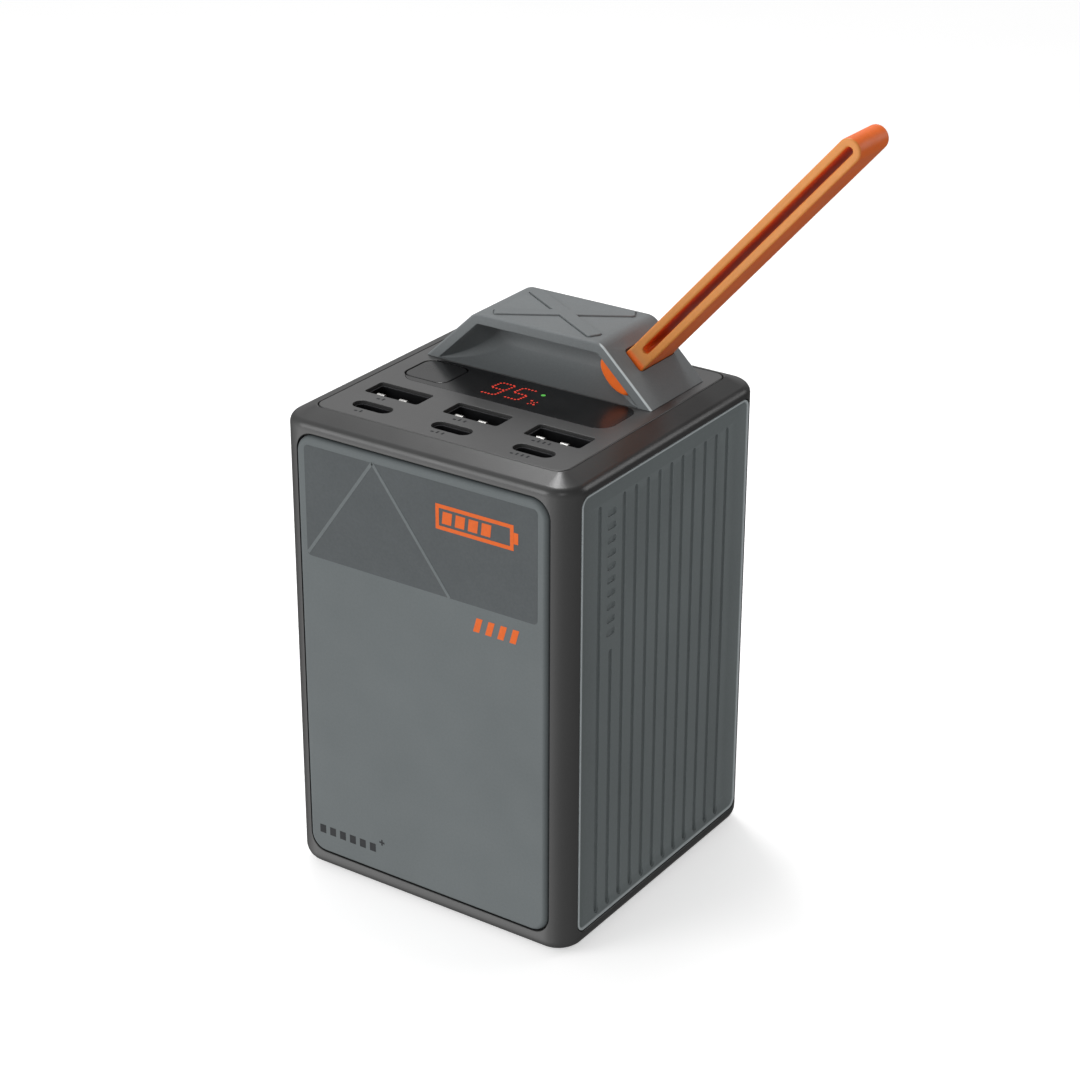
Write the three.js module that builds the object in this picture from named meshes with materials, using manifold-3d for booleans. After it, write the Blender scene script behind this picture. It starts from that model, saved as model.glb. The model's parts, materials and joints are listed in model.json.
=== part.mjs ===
// A pocket-size camping power station: a tall battery box with clip-in panels, a deck of
// charging sockets, a grip bridge with a finger pocket, and a moulded carrying strap.
// Millimetres, +Z up, -Y is the front. The origin is the centre of the base pad's underside.
import * as THREE from 'three';
import { mergeVertices } from 'three/addons/utils/BufferGeometryUtils.js';
import Module from 'manifold-3d';

const wasm = await Module();
wasm.setup();

// ---- Driving dimensions -------------------------------------------------------------
const WIDTH = 73; // body, along X
const DEPTH = 73.8; // body, along Y
const DECK_Z = 109.5; // top face of the socket deck
const CORNER = 6.5; // vertical corner radius of the body
const SEAM_INSET = 5.4; // from the body's side to the deck seam
const GAP = 0.3; // clearance between parts that touch

const PAD_T = 0.7; // base pad
const COVER = { half: 31.5, top: 2.5, radius: 4 };
const PANEL = { bottom: 5.5, top: 105.1, width: 62.8, radius: 4, proud: 0.5, thick: 2.3 };
const RIBBED = { bottom: 4.9, top: 105.4, width: 64.4, radius: 2.2, thick: 2.4, below: 0.2 };
const BASIN = { edge: 4, depth: 0.75 }; // the shallow cove inside a ribbed panel's lip
const GROOVE = { count: 12, pitch: 4.48, width: 1.3, depth: 0.8, low: 6.1, high: 100.8 };
const GAUGE = { column: 1, low: 69.6, high: 99.5, marks: 5, width: 3.2, grooveTop: 67.2 };

const CAVITY = { x: 32.3, y: 32.7, low: 8.2, high: 104.7, radius: 3 };
const DECK = { thick: 2.6, radius: 2.8 };
const PORT = { pitch: 20.2, shellTop: 108.9, shellBottom: 95.1, wall: 0.35 };
const USB_A = { y: -16.4, width: 13.1, depth: 5.7, corner: 0.6, hole: 0.6, tongueTip: 105.2 };
const USB_C = { y: -25.5, width: 8.94, depth: 3.26, corner: 1.63, hole: 1.9, tongueTip: 107.6 };
const SHELL_FLOOR = 0.5; // thickness of a socket sleeve's floor
const WINDOW = { halfX: 26.4, front: -9.1, rear: 4.5, radius: 3.9, thick: 1, bed: 0.1, slack: 0.3 };
const BUTTON = { x: -21.1, y: -2, width: 11.1, depth: 10.4, radius: 2.5, bottom: 106.3 };
const BUTTON_SLACK = 0.5; // the button's hole is larger than the button by this much
const FLANGE = { spread: 1.5, below: 0.6, above: 0.2 }; // keeps the button under the deck
const SWITCH = { half: 3, top: 105, well: 1.5, floor: 0.25, stem: 1.2, stemLow: 104.3 };
const DIGITS = { x: 1, y: -2.7, width: 18, depth: 9.4, top: 108.1 };
const LED = { x: 5.3, y: -0.3, radius: 0.9, top: 108.1 };
const DISPLAY_BOARD = { halfX: 27.5, front: -9.5, rear: 6, top: 103.2, thick: 1.6 };

const BRIDGE = { base: 28.9, crest: 16, top: 121.8, front: 4.8, rear: 26.3, wall: 2.3, round: 3.5 };
const POCKET = { depth: 8.5, ramp: 5, ceiling: 119.4, sill: 0.1, flare: 8, back: 15.5, wall: 1.8 };
const STRAP = { x: 20.75, y: 16.9, half: 6, footHalf: 6.7, reach: 73.4, lean: 48.5, arm: 1.8, round: 2.6 };
const RIB = { half: 15, halfWidth: 1.6, proud: 0.35, margin: 5 }; // crossed ribs on the crest
const HEAD = { half: 4.8, shift: 0.5, front: 6, rear: 24.2, edge: 0.5, dome: 2.7 }; // inner end
const NECK = { width: 3.6, depth: 12.4, radius: 0.6 };
const PIVOT_LIFT = 3.8; // the strap's bending line above the bridge's slope

const CELL = { count: 5, width: 60, thick: 10.2, corner: 1.4, pitch: 10.8, bottom: 9.9, top: 89 };
const TAB = { x: 9, half: 2.5, thin: 0.2, rise: 0.9 }; // a cell's two terminals
const FOAM = { halfX: 25, thin: 0.2, low: 20, high: 80 };
const CRADLE = { floor: 1.5, wall: 1.5, top: 22, slack: 0.6, opening: 18 };
const CLAMP = { slack: 0.5, radius: 2.6, openX: 28.4, openY: 23.5, gap: 0.2 };
const BOARD = { bottom: 93.4, thick: 1.6, halfX: 31.8, halfY: 32.2, radius: 2.4, solder: 0.1 };
const GUARD = { above: 1, halfX: 24, halfY: 23, thick: 1.2 }; // protection board over the cells
const INDUCTOR = { pitch: 17, y: 15, side: 10.5, radius: 1.6, top: 5, round: 0.5 };
const CAPACITOR = { x: 25, y: 23, radius: 3.2, top: 8.5 };
const CHIP = { half: 3.5, front: -6, rear: 1, top: 1.1 };
const SPREADER = { halfX: 20, front: 24, rear: 30, foot: 1.4, fin: 1.2, top: 103.5 };
const TERMINAL = { x: 26.5, half: 1.2, halfY: 6 };
const SCREW_AT = 27.5; // bottom screws, from the middle each way
const BRIDGE_SCREW = { x: 9, y: 20.5, bore: 1, boreTop: 118, hole: 1.3, boss: 2.4 };

const halfX = WIDTH / 2;
const halfY = DEPTH / 2;
const slope = Math.atan2(BRIDGE.top - DECK_Z, BRIDGE.base - BRIDGE.crest);

// ---- Materials ----------------------------------------------------------------------
const paint = {
  frame: { color: 0x3d3e3f, roughness: 0.5, metalness: 0 },
  panel: { color: 0x6d7374, roughness: 0.55, metalness: 0 },
  deck: { color: 0x616262, roughness: 0.55, metalness: 0 },
  bridge: { color: 0x717678, roughness: 0.6, metalness: 0 },
  smoked: { color: 0x1c1d1e, roughness: 0.12, metalness: 0 },
  strap: { color: 0xe87424, roughness: 0.5, metalness: 0 },
  rubber: { color: 0x2a2a2a, roughness: 0.85, metalness: 0 },
  steel: { color: 0xb9bbbd, roughness: 0.3, metalness: 1 },
  insulator: { color: 0x161616, roughness: 0.6, metalness: 0 },
  circuit: { color: 0x1f5a3a, roughness: 0.5, metalness: 0 },
  pouch: { color: 0xc3c6c8, roughness: 0.35, metalness: 0.8 },
  foam: { color: 0x4a4a4a, roughness: 0.95, metalness: 0 },
  nickel: { color: 0xc9c5b8, roughness: 0.35, metalness: 1 },
  aluminium: { color: 0xd0d2d4, roughness: 0.4, metalness: 1 },
  display: { color: 0x301414, roughness: 0.3, metalness: 0 },
  lens: { color: 0x2f8f3a, roughness: 0.3, metalness: 0 },
};

// ---- Geometry helpers ---------------------------------------------------------------
function toSolid(geometry) {
  const bare = geometry.clone();
  bare.deleteAttribute('normal');
  bare.deleteAttribute('uv');
  const merged = mergeVertices(bare, 1e-4);
  const vertProperties = new Float32Array(merged.attributes.position.array);
  const triVerts = new Uint32Array(merged.index.array);
  return new wasm.Manifold(new wasm.Mesh({ numProp: 3, vertProperties, triVerts }));
}

function toGeometry(solid) {
  const { vertProperties, triVerts } = solid.getMesh();
  const geometry = new THREE.BufferGeometry();
  geometry.setAttribute('position', new THREE.BufferAttribute(vertProperties, 3));
  geometry.setIndex(new THREE.BufferAttribute(triVerts, 1));
  geometry.computeVertexNormals();
  return geometry;
}

function roundedRect(width, depth, radius) {
  const [x, y] = [width / 2, depth / 2];
  const shape = new THREE.Shape();
  shape.absarc(x - radius, y - radius, radius, 0, Math.PI / 2);
  shape.absarc(-x + radius, y - radius, radius, Math.PI / 2, Math.PI);
  shape.absarc(-x + radius, -y + radius, radius, Math.PI, 1.5 * Math.PI);
  shape.absarc(x - radius, -y + radius, radius, 1.5 * Math.PI, 2 * Math.PI);
  return shape;
}

// A flat-lying plate with rounded corners, and a rounded rim where bevel is more than 0.
function plate(width, depth, radius, low, high, bevel = 0) {
  const geometry = new THREE.ExtrudeGeometry(roundedRect(width, depth, radius), {
    depth: high - low - 2 * bevel,
    curveSegments: 2,
    bevelEnabled: bevel > 0,
    bevelThickness: bevel,
    bevelSize: bevel,
    bevelOffset: -bevel,
    bevelSegments: 2,
  });
  return geometry.translate(0, 0, low + bevel);
}

function box(x0, x1, y0, y1, z0, z1) {
  const geometry = new THREE.BoxGeometry(x1 - x0, y1 - y0, z1 - z0);
  return geometry.translate((x0 + x1) / 2, (y0 + y1) / 2, (z0 + z1) / 2);
}

function rod(radius, x, y, low, high, segments = 16) {
  const geometry = new THREE.CylinderGeometry(radius, radius, high - low, segments);
  return geometry.rotateX(Math.PI / 2).translate(x, y, (low + high) / 2);
}

// A shape drawn in X and Z, extruded along Y.
function prismAlongY(shape, front, rear) {
  const options = { depth: rear - front, bevelEnabled: false, curveSegments: 4 };
  return new THREE.ExtrudeGeometry(shape, options).rotateX(Math.PI / 2).translate(0, rear, 0);
}

// A closed skin through a row of rings with equal numbers of points. Each ring runs
// counterclockwise as seen from the row's far end.
function loft(rings) {
  const around = rings[0].length;
  const faces = [];
  for (let level = 0; level < rings.length - 1; level += 1) {
    for (let i = 0; i < around; i += 1) {
      const [a, b] = [level * around + i, level * around + ((i + 1) % around)];
      faces.push(a, b, b + around, a, b + around, a + around);
    }
  }
  const last = (rings.length - 1) * around;
  for (let i = 1; i < around - 1; i += 1) {
    faces.push(0, i + 1, i, last, last + i, last + i + 1);
  }
  const geometry = new THREE.BufferGeometry().setFromPoints(rings.flat());
  geometry.setIndex(faces);
  return geometry;
}

// A stack of level rounded rectangles, each { inset, z }.
function ringStack(levels, width, depth, radius, cornerSteps = 4) {
  return loft(levels.map(({ inset, z }) => {
    const ring = roundedRect(width - 2 * inset, depth - 2 * inset, Math.max(radius - inset, 0.8));
    const outline = ring.getPoints(cornerSteps);
    if (outline[0].distanceTo(outline[outline.length - 1]) < 1e-6) outline.pop();
    return outline.map((p) => new THREE.Vector3(p.x, p.y, z));
  }));
}

function cut(base, ...tools) {
  return tools.reduce((left, tool) => left.subtract(toSolid(tool)), toSolid(base));
}

function join(...pieces) {
  return pieces.map(toSolid).reduce((sum, piece) => sum.add(piece));
}

const station = new THREE.Group();

function place(name, shape, look, parent = station) {
  const geometry = shape.isBufferGeometry ? shape : toGeometry(shape);
  const mesh = new THREE.Mesh(geometry, new THREE.MeshStandardMaterial(look));
  mesh.name = name;
  parent.add(mesh);
  return mesh;
}

// ---- Outer casing -------------------------------------------------------------------
function bodySkin() {
  const bottomRound = 3.6;
  const rings = [];
  for (let step = 0; step <= 4; step += 1) {
    const angle = (step / 4) * (Math.PI / 2);
    rings.push({
      inset: bottomRound * (1 - Math.sin(angle)),
      z: PAD_T + bottomRound * (1 - Math.cos(angle)),
    });
  }
  rings.push({ inset: 0, z: 106 });
  rings.push({ inset: 0.15, z: 106.9 });
  rings.push({ inset: 0.6, z: 107.6 });
  rings.push({ inset: 1.3, z: 108.05 });
  rings.push({ inset: 4.9, z: 109.4 });
  rings.push({ inset: SEAM_INSET, z: DECK_Z });
  return ringStack(rings, WIDTH, DEPTH, CORNER);
}

// Standing plates are drawn facing the front and turned to their side of the body.
function standUp(geometry, low, high, backAt) {
  return geometry.rotateX(Math.PI / 2).translate(0, -backAt, (low + high) / 2);
}

function bodyFrame() {
  const seam = { x: WIDTH - 2 * SEAM_INSET + 0.4, y: DEPTH - 2 * SEAM_INSET + 0.4 };
  const ledgeZ = DECK_Z - DECK.thick - 0.2;
  const ledge = 29.6;
  const floorLedge = 23.5;
  let frame = cut(
    bodySkin(),
    plate(2 * CAVITY.x, 2 * CAVITY.y, CAVITY.radius, CAVITY.low, CAVITY.high),
    plate(2 * ledge, 2 * ledge, 2, CAVITY.high - 1, ledgeZ + 1),
    plate(seam.x, seam.y, DECK.radius + 0.2, ledgeZ, DECK_Z + 5),
    plate(2 * COVER.half + 0.4, 2 * COVER.half + 0.4, COVER.radius, -1, COVER.top),
    box(-ledge, ledge, -floorLedge, floorLedge, COVER.top - 0.5, CAVITY.low + 0.5),
    box(-floorLedge, floorLedge, -ledge, ledge, COVER.top - 0.5, CAVITY.low + 0.5),
  );
  for (const [x, y] of screwCorners()) {
    frame = frame.subtract(toSolid(rod(1.35, x, y, COVER.top - 0.2, 7.3, 12)));
  }
  const smooth = { width: PANEL.width + 0.7, height: PANEL.top - PANEL.bottom + 0.7 };
  const ribbed = { width: RIBBED.width + 0.6, height: RIBBED.top - RIBBED.bottom + 0.6 };
  for (const turn of [0, Math.PI]) {
    const floorAt = halfY - PANEL.thick + PANEL.proud - GAP;
    const pocket = plate(smooth.width, smooth.height, PANEL.radius + 0.3, 0, 9);
    standUp(pocket, PANEL.bottom, PANEL.top, floorAt);
    frame = frame.subtract(toSolid(pocket.rotateZ(turn)));
  }
  for (const turn of [Math.PI / 2, -Math.PI / 2]) {
    const floorAt = halfX - RIBBED.below - RIBBED.thick - GAP;
    const pocket = plate(ribbed.width, ribbed.height, RIBBED.radius + 0.3, 0, 9);
    standUp(pocket, RIBBED.bottom, RIBBED.top, floorAt);
    frame = frame.subtract(toSolid(pocket.rotateZ(turn)));
  }
  return frame;
}

function screwCorners() {
  return [[-1, -1], [1, -1], [1, 1], [-1, 1]].map(([a, b]) => [a * SCREW_AT, b * SCREW_AT]);
}

function smoothPanel() {
  const height = PANEL.top - PANEL.bottom;
  const panel = plate(PANEL.width, height, PANEL.radius, 0, PANEL.thick, 0.9);
  return standUp(panel, PANEL.bottom, PANEL.top, halfY + PANEL.proud - PANEL.thick);
}

// The ribbed panel lies flat while it is cut: local X runs along the body, local Y up it.
function ribbedPanel(hasGauge) {
  const height = RIBBED.top - RIBBED.bottom;
  const middle = (RIBBED.top + RIBBED.bottom) / 2;
  const flat = RIBBED.thick - BASIN.depth;
  const grooveFloor = flat - GROOVE.depth;
  let panel = cut(plate(RIBBED.width, height, RIBBED.radius, 0, RIBBED.thick), basinTool(flat));
  const first = -((GROOVE.count - 1) / 2) * GROOVE.pitch;
  for (let i = 0; i < GROOVE.count; i += 1) {
    const at = first + i * GROOVE.pitch;
    const top = hasGauge && i === GAUGE.column ? GAUGE.grooveTop : GROOVE.high;
    const edges = [at - GROOVE.width / 2, at + GROOVE.width / 2];
    panel = panel.subtract(toSolid(box(
      ...edges, GROOVE.low - middle, top - middle, grooveFloor, RIBBED.thick + 1,
    )));
  }
  if (hasGauge) {
    const step = (GAUGE.high - GAUGE.low) / GAUGE.marks;
    const at = first + GAUGE.column * GROOVE.pitch;
    for (let i = 0; i < GAUGE.marks; i += 1) {
      const low = GAUGE.low + i * step + 1 - middle;
      const mark = box(
        at - GAUGE.width / 2, at + GAUGE.width / 2, low, low + step - 2, flat - 0.5, RIBBED.thick + 1,
      );
      panel = panel.subtract(toSolid(mark));
    }
  }
  const geometry = toGeometry(panel);
  return standUp(geometry, RIBBED.bottom, RIBBED.top, halfX - RIBBED.below - RIBBED.thick);
}

// A flat-bottomed basin whose sides slope out to the panel's lip.
function basinTool(flat) {
  const height = RIBBED.top - RIBBED.bottom;
  const rise = BASIN.depth + 0.2;
  const spread = (BASIN.edge - 0.6) * (rise / BASIN.depth);
  const rings = [{ inset: spread, z: flat }, { inset: 0, z: flat + rise }];
  const reach = 2 * (spread - BASIN.edge);
  return ringStack(rings, RIBBED.width + reach, height + reach, spread + 1, 1);
}

function casing() {
  place('body_frame', bodyFrame(), paint.frame);
  place('front_panel', smoothPanel(), paint.panel);
  place('rear_panel', smoothPanel(), paint.panel).rotation.z = Math.PI;
  place('right_side_panel', ribbedPanel(true), paint.panel).rotation.z = Math.PI / 2;
  place('left_side_panel', ribbedPanel(false), paint.panel).rotation.z = -Math.PI / 2;
}

// ---- Floor --------------------------------------------------------------------------
function bottomCover() {
  const side = 2 * COVER.half;
  const holes = screwCorners().flatMap(([x, y]) => [
    rod(1.5, x, y, 0, 4, 12), rod(2.4, x, y, 0, PAD_T + 1, 16),
  ]);
  return cut(plate(side, side, COVER.radius, PAD_T, COVER.top - 0.1), ...holes);
}

// A pan-head screw with a plain cross slot; the head's flat side is at z = 0.
function screw(headRadius, headHeight, shankRadius, length) {
  const profile = [[0, 0], [headRadius, 0], [headRadius, headHeight], [shankRadius, headHeight]];
  profile.push([shankRadius, length - shankRadius], [0, length]);
  const lathe = new THREE.LatheGeometry(profile.map(([x, y]) => new THREE.Vector2(x, y)), 14);
  const slotHalf = headRadius * 0.55;
  const depth = headHeight * 0.5;
  return cut(
    lathe.rotateX(Math.PI / 2),
    box(-slotHalf, slotHalf, -0.2, 0.2, -1, depth),
    box(-0.2, 0.2, -slotHalf, slotHalf, -1, depth),
  );
}

function floor() {
  place('bottom_cover', bottomCover(), paint.frame);
  place('base_pad', plate(60.4, 60.4, 5, 0, PAD_T - 0.05), paint.rubber);
  screwCorners().forEach(([x, y], i) => {
    place(`bottom_screw_${i + 1}`, screw(2.1, 0.85, 1.1, 6.2), paint.steel).position.set(x, y, PAD_T + 0.1);
  });
}

// ---- Deck and sockets ---------------------------------------------------------------
function portCentres() {
  return [-PORT.pitch, 0, PORT.pitch];
}

function buttonHole(low) {
  return plate(
    BUTTON.width + BUTTON_SLACK, BUTTON.depth + BUTTON_SLACK, BUTTON.radius, low, DECK_Z + 1,
  ).translate(BUTTON.x, BUTTON.y, 0);
}

function topDeck() {
  const windowDepth = WINDOW.rear - WINDOW.front;
  const windowY = (WINDOW.rear + WINDOW.front) / 2;
  const low = DECK_Z - DECK.thick;
  const bed = plate(
    2 * WINDOW.halfX + WINDOW.slack, windowDepth + WINDOW.slack, WINDOW.radius,
    DECK_Z - WINDOW.thick - 0.25, DECK_Z + 1,
  );
  const view = plate(DIGITS.width + 1.6, DIGITS.depth + 0.8, 0.5, low - 1, DECK_Z);
  let deck = cut(
    plate(WIDTH - 2 * SEAM_INSET, DEPTH - 2 * SEAM_INSET, DECK.radius, low, DECK_Z),
    bed.translate(0, windowY, 0),
    buttonHole(low - 1),
    view.translate(DIGITS.x, DIGITS.y, 0),
    rod(BRIDGE_SCREW.hole, -BRIDGE_SCREW.x, BRIDGE_SCREW.y, low - 1, DECK_Z + 1, 12),
    rod(BRIDGE_SCREW.hole, BRIDGE_SCREW.x, BRIDGE_SCREW.y, low - 1, DECK_Z + 1, 12),
  );
  for (const x of portCentres()) {
    for (const port of [USB_A, USB_C]) {
      const hole = plate(port.width + 2 * GAP, port.depth + 2 * GAP, port.hole, low - 1, DECK_Z + 1);
      deck = deck.subtract(toSolid(hole.translate(x, port.y, 0)));
    }
  }
  return deck;
}

// A drawn steel sleeve, open at the top, with a floor.
function portShell({ width, depth, corner }) {
  const { wall, shellBottom: low, shellTop: high } = PORT;
  return cut(
    plate(width, depth, corner, low, high),
    plate(width - 2 * wall, depth - 2 * wall, corner - wall, low + SHELL_FLOOR, high + 1),
  );
}

function sockets() {
  const floorZ = PORT.shellBottom + SHELL_FLOOR + 0.1;
  portCentres().forEach((x, i) => {
    const tongueA = box(-5.55, 5.55, 0.1, 2, floorZ, USB_A.tongueTip);
    const tongueC = plate(6.7, 0.7, 0.3, floorZ, USB_C.tongueTip);
    place(`usb_a_shell_${i + 1}`, portShell(USB_A), paint.steel).position.set(x, USB_A.y, 0);
    place(`usb_a_tongue_${i + 1}`, tongueA, paint.insulator).position.set(x, USB_A.y, 0);
    place(`usb_c_shell_${i + 1}`, portShell(USB_C), paint.steel).position.set(x, USB_C.y, 0);
    place(`usb_c_tongue_${i + 1}`, tongueC, paint.insulator).position.set(x, USB_C.y, 0);
  });
}

// ---- Display and button -------------------------------------------------------------
function displayWindow() {
  const windowY = (WINDOW.rear + WINDOW.front) / 2;
  const low = DECK_Z - WINDOW.thick - WINDOW.bed;
  const pane = plate(2 * WINDOW.halfX, WINDOW.rear - WINDOW.front, WINDOW.radius, low, DECK_Z);
  return cut(pane.translate(0, windowY, 0), buttonHole(low - 1));
}

function powerButton() {
  const { width, depth, radius, bottom } = BUTTON;
  const { spread, below, above } = FLANGE;
  return join(
    plate(width, depth, radius, bottom, DECK_Z),
    plate(width + spread, depth + spread, radius, bottom - below, bottom + above),
  );
}

// The block of lit digits, with a clear way through it for the status lens.
function digitBlock(low) {
  return cut(
    plate(DIGITS.width, DIGITS.depth, 0.5, low, DIGITS.top).translate(DIGITS.x, DIGITS.y, 0),
    rod(LED.radius + GAP, LED.x, LED.y, low - 1, DIGITS.top + 1),
  );
}

function displayAndButton() {
  const { halfX: boardX, front, rear, top, thick } = DISPLAY_BOARD;
  const low = top + 0.1;
  place('top_deck', topDeck(), paint.deck);
  place('display_window', displayWindow(), paint.smoked);
  place('digit_display', digitBlock(low), paint.display);
  place('status_led', rod(LED.radius, LED.x, LED.y, low, LED.top, 12), paint.lens);
  place('display_board', box(-boardX, boardX, front, rear, top - thick, top), paint.circuit);
  const plunger = rod(SWITCH.stem, 0, 0, SWITCH.stemLow, BUTTON.bottom - FLANGE.below - 0.1, 12);
  const switchBody = cut(
    box(-SWITCH.half, SWITCH.half, -SWITCH.half, SWITCH.half, low, SWITCH.top),
    rod(SWITCH.well, 0, 0, low + SWITCH.floor, SWITCH.top + 1, 12),
  );
  place('power_button', powerButton(), paint.smoked).position.set(BUTTON.x, BUTTON.y, 0);
  place('switch_plunger', plunger, paint.insulator).position.set(BUTTON.x, BUTTON.y, 0);
  place('switch_body', switchBody, paint.steel).position.set(BUTTON.x, BUTTON.y, 0);
}

// ---- Grip bridge --------------------------------------------------------------------
// How far out the bridge's slope stands at a height, `inset` inside its outer face.
function slopeX(inset, z) {
  return BRIDGE.base - inset / Math.sin(slope) - (z - DECK_Z) / Math.tan(slope);
}

// The bridge's cross-section in X and Z, drawn `inset` inside its outer faces.
function bridgeSection(inset, low, high, round) {
  const shape = new THREE.Shape();
  const tangent = round * Math.tan(slope / 2);
  const crest = slopeX(inset, high);
  const turn = (sign) => [sign * (crest - tangent), high - round];
  shape.moveTo(-slopeX(inset, low), low);
  shape.lineTo(slopeX(inset, low), low);
  shape.absarc(...turn(1), round, Math.PI / 2 - slope, Math.PI / 2);
  shape.absarc(...turn(-1), round, Math.PI / 2, Math.PI / 2 + slope);
  return shape;
}

// The finger pocket: its mouth follows the bridge's slopes, its ends flare inwards, and its
// floor curves up into an upright back.
function fingerPocket() {
  const sill = DECK_Z + POCKET.sill;
  const widest = slopeX(BRIDGE.wall, sill);
  const highX = slopeX(BRIDGE.wall, POCKET.ceiling);
  const ring = (y, depth) => {
    const lowX = Math.max(POCKET.back, widest - (widest - POCKET.back) * (depth / POCKET.flare));
    const part = Math.min(1, depth / POCKET.depth);
    const low = sill + POCKET.ramp * (1 - Math.sqrt(1 - part * part));
    return [[-lowX, low], [-highX, POCKET.ceiling], [highX, POCKET.ceiling], [lowX, low]]
      .map(([x, z]) => new THREE.Vector3(x, y, z));
  };
  const steps = 8;
  const rings = [ring(BRIDGE.front - 3, 0)];
  for (let step = 0; step <= steps; step += 1) {
    const depth = POCKET.depth * Math.sin((step / steps) * (Math.PI / 2));
    rings.push(ring(BRIDGE.front + depth, depth));
  }
  return loft(rings);
}

// The empty space behind the pocket's back wall, left out round the two screw bosses.
function bridgeHollow() {
  const front = BRIDGE.front + POCKET.depth + POCKET.wall;
  const rear = BRIDGE.rear - 1.7;
  const bosses = [-1, 1].map((sign) => (
    rod(BRIDGE_SCREW.boss, sign * BRIDGE_SCREW.x, BRIDGE_SCREW.y, DECK_Z - 3, BRIDGE.top, 14)
  ));
  return cut(
    prismAlongY(bridgeSection(BRIDGE.wall, DECK_Z - 1, POCKET.ceiling, 1), front, rear), ...bosses,
  );
}

// The crossed stiffening ribs on the bridge's crest.
function crestRibs() {
  const middle = (BRIDGE.front + BRIDGE.rear) / 2;
  const run = 2 * BRIDGE.crest - RIB.margin;
  const lean = Math.atan2(BRIDGE.rear - BRIDGE.front - RIB.margin, run);
  return [-1, 1].map((sign) => {
    const rib = box(
      -RIB.half, RIB.half, -RIB.halfWidth, RIB.halfWidth, BRIDGE.top - 1, BRIDGE.top + RIB.proud,
    );
    return rib.rotateZ(sign * lean).translate(0, middle, 0);
  });
}

// Moves a piece drawn about the strap's root, with Z square to the bridge's right slope.
function onSlope(geometry) {
  const z = DECK_Z + (BRIDGE.base - STRAP.x) * Math.tan(slope);
  return geometry.rotateY(slope).translate(STRAP.x, STRAP.y, z);
}

// The strap's inner end: a bar with a domed underside, held below the slope's inner face
// and grown on every side by `room`.
function strapHead(room) {
  const top = -BRIDGE.wall - GAP;
  const half = HEAD.half + room;
  const shape = new THREE.Shape();
  shape.moveTo(half, top + room);
  shape.lineTo(-half, top + room);
  shape.absellipse(0, top - HEAD.edge, half, HEAD.dome + room, Math.PI, 2 * Math.PI);
  const bar = prismAlongY(shape, HEAD.front - room, HEAD.rear + room);
  return bar.translate(HEAD.shift, -STRAP.y, 0);
}

function screwBore(side) {
  const { x, y, bore, boreTop } = BRIDGE_SCREW;
  return rod(bore, side * x, y, DECK_Z - 1, boreTop, 12);
}

function gripBridge() {
  const outer = prismAlongY(
    bridgeSection(0, DECK_Z + 0.05, BRIDGE.top, BRIDGE.round), BRIDGE.front, BRIDGE.rear,
  );
  const neckHole = plate(NECK.width + 0.7, NECK.depth + 0.7, NECK.radius + 0.2, -4, 5);
  return join(outer, ...crestRibs())
    .subtract(toSolid(fingerPocket()))
    .subtract(bridgeHollow())
    .subtract(toSolid(onSlope(neckHole)))
    .subtract(toSolid(onSlope(strapHead(GAP))))
    .subtract(toSolid(screwBore(-1)))
    .subtract(toSolid(screwBore(1)));
}

function bridgeAndScrews() {
  place('grip_bridge', gripBridge(), paint.bridge);
  [-1, 1].forEach((sign, i) => {
    const fixing = place(`bridge_screw_${i + 1}`, screw(2, 1, 0.85, 9), paint.steel);
    fixing.position.set(sign * BRIDGE_SCREW.x, BRIDGE_SCREW.y, DECK_Z - DECK.thick - 1.2);
  });
}

// ---- Carrying strap -----------------------------------------------------------------
// The root is held in the bridge: a broad head inside, a neck through the slope, a collar.
function strapAnchor() {
  return join(
    onSlope(strapHead(0)),
    onSlope(plate(NECK.width, NECK.depth, NECK.radius, -3.6, 0.6)),
    onSlope(plate(5, 2 * STRAP.footHalf, 1, GAP, 0.85)),
  );
}

// The free part is one flat loop of band, drawn along local Z from its bending line.
function strapLoop() {
  const reach = STRAP.reach - PIVOT_LIFT - STRAP.round;
  const outline = (radius) => {
    const path = new THREE.Shape();
    path.absarc(0, reach, radius, 0, Math.PI);
    path.absarc(0, 0, radius, Math.PI, 2 * Math.PI);
    return path;
  };
  const shape = outline(STRAP.round);
  shape.holes.push(outline(STRAP.round - STRAP.arm));
  return prismAlongY(shape, -STRAP.half, STRAP.half);
}

function strap() {
  place('strap_anchor', strapAnchor(), paint.strap);
  const loop = place('strap_loop', strapLoop(), paint.strap);
  const rootZ = DECK_Z + (BRIDGE.base - STRAP.x) * Math.tan(slope);
  loop.position.set(
    STRAP.x + PIVOT_LIFT * Math.sin(slope), STRAP.y, rootZ + PIVOT_LIFT * Math.cos(slope),
  );
  loop.rotation.y = THREE.MathUtils.degToRad(90 - STRAP.lean);
}

// ---- Battery pack -------------------------------------------------------------------
function pouchCell() {
  const { x, half, thin, rise } = TAB;
  const body = plate(CELL.width, CELL.thick, CELL.corner, CELL.bottom, CELL.top);
  const tabs = [-x, x].map((at) => (
    box(at - half, at + half, -thin, thin, CELL.top - 1, CELL.top + rise)
  ));
  return join(body, ...tabs);
}

// The tray that the cells stand in, open in the middle of its floor.
function cellCradle(packDepth) {
  const { floor: base, wall, top, slack, opening } = CRADLE;
  const spread = 2 * wall;
  return cut(
    plate(CELL.width + spread + slack, packDepth + spread, 2, CELL.bottom - base, top),
    plate(CELL.width + slack, packDepth + slack, CELL.corner, CELL.bottom - 0.1, top + 1),
    box(-opening, opening, -opening, opening, CAVITY.low - 1, CELL.bottom),
  );
}

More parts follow.
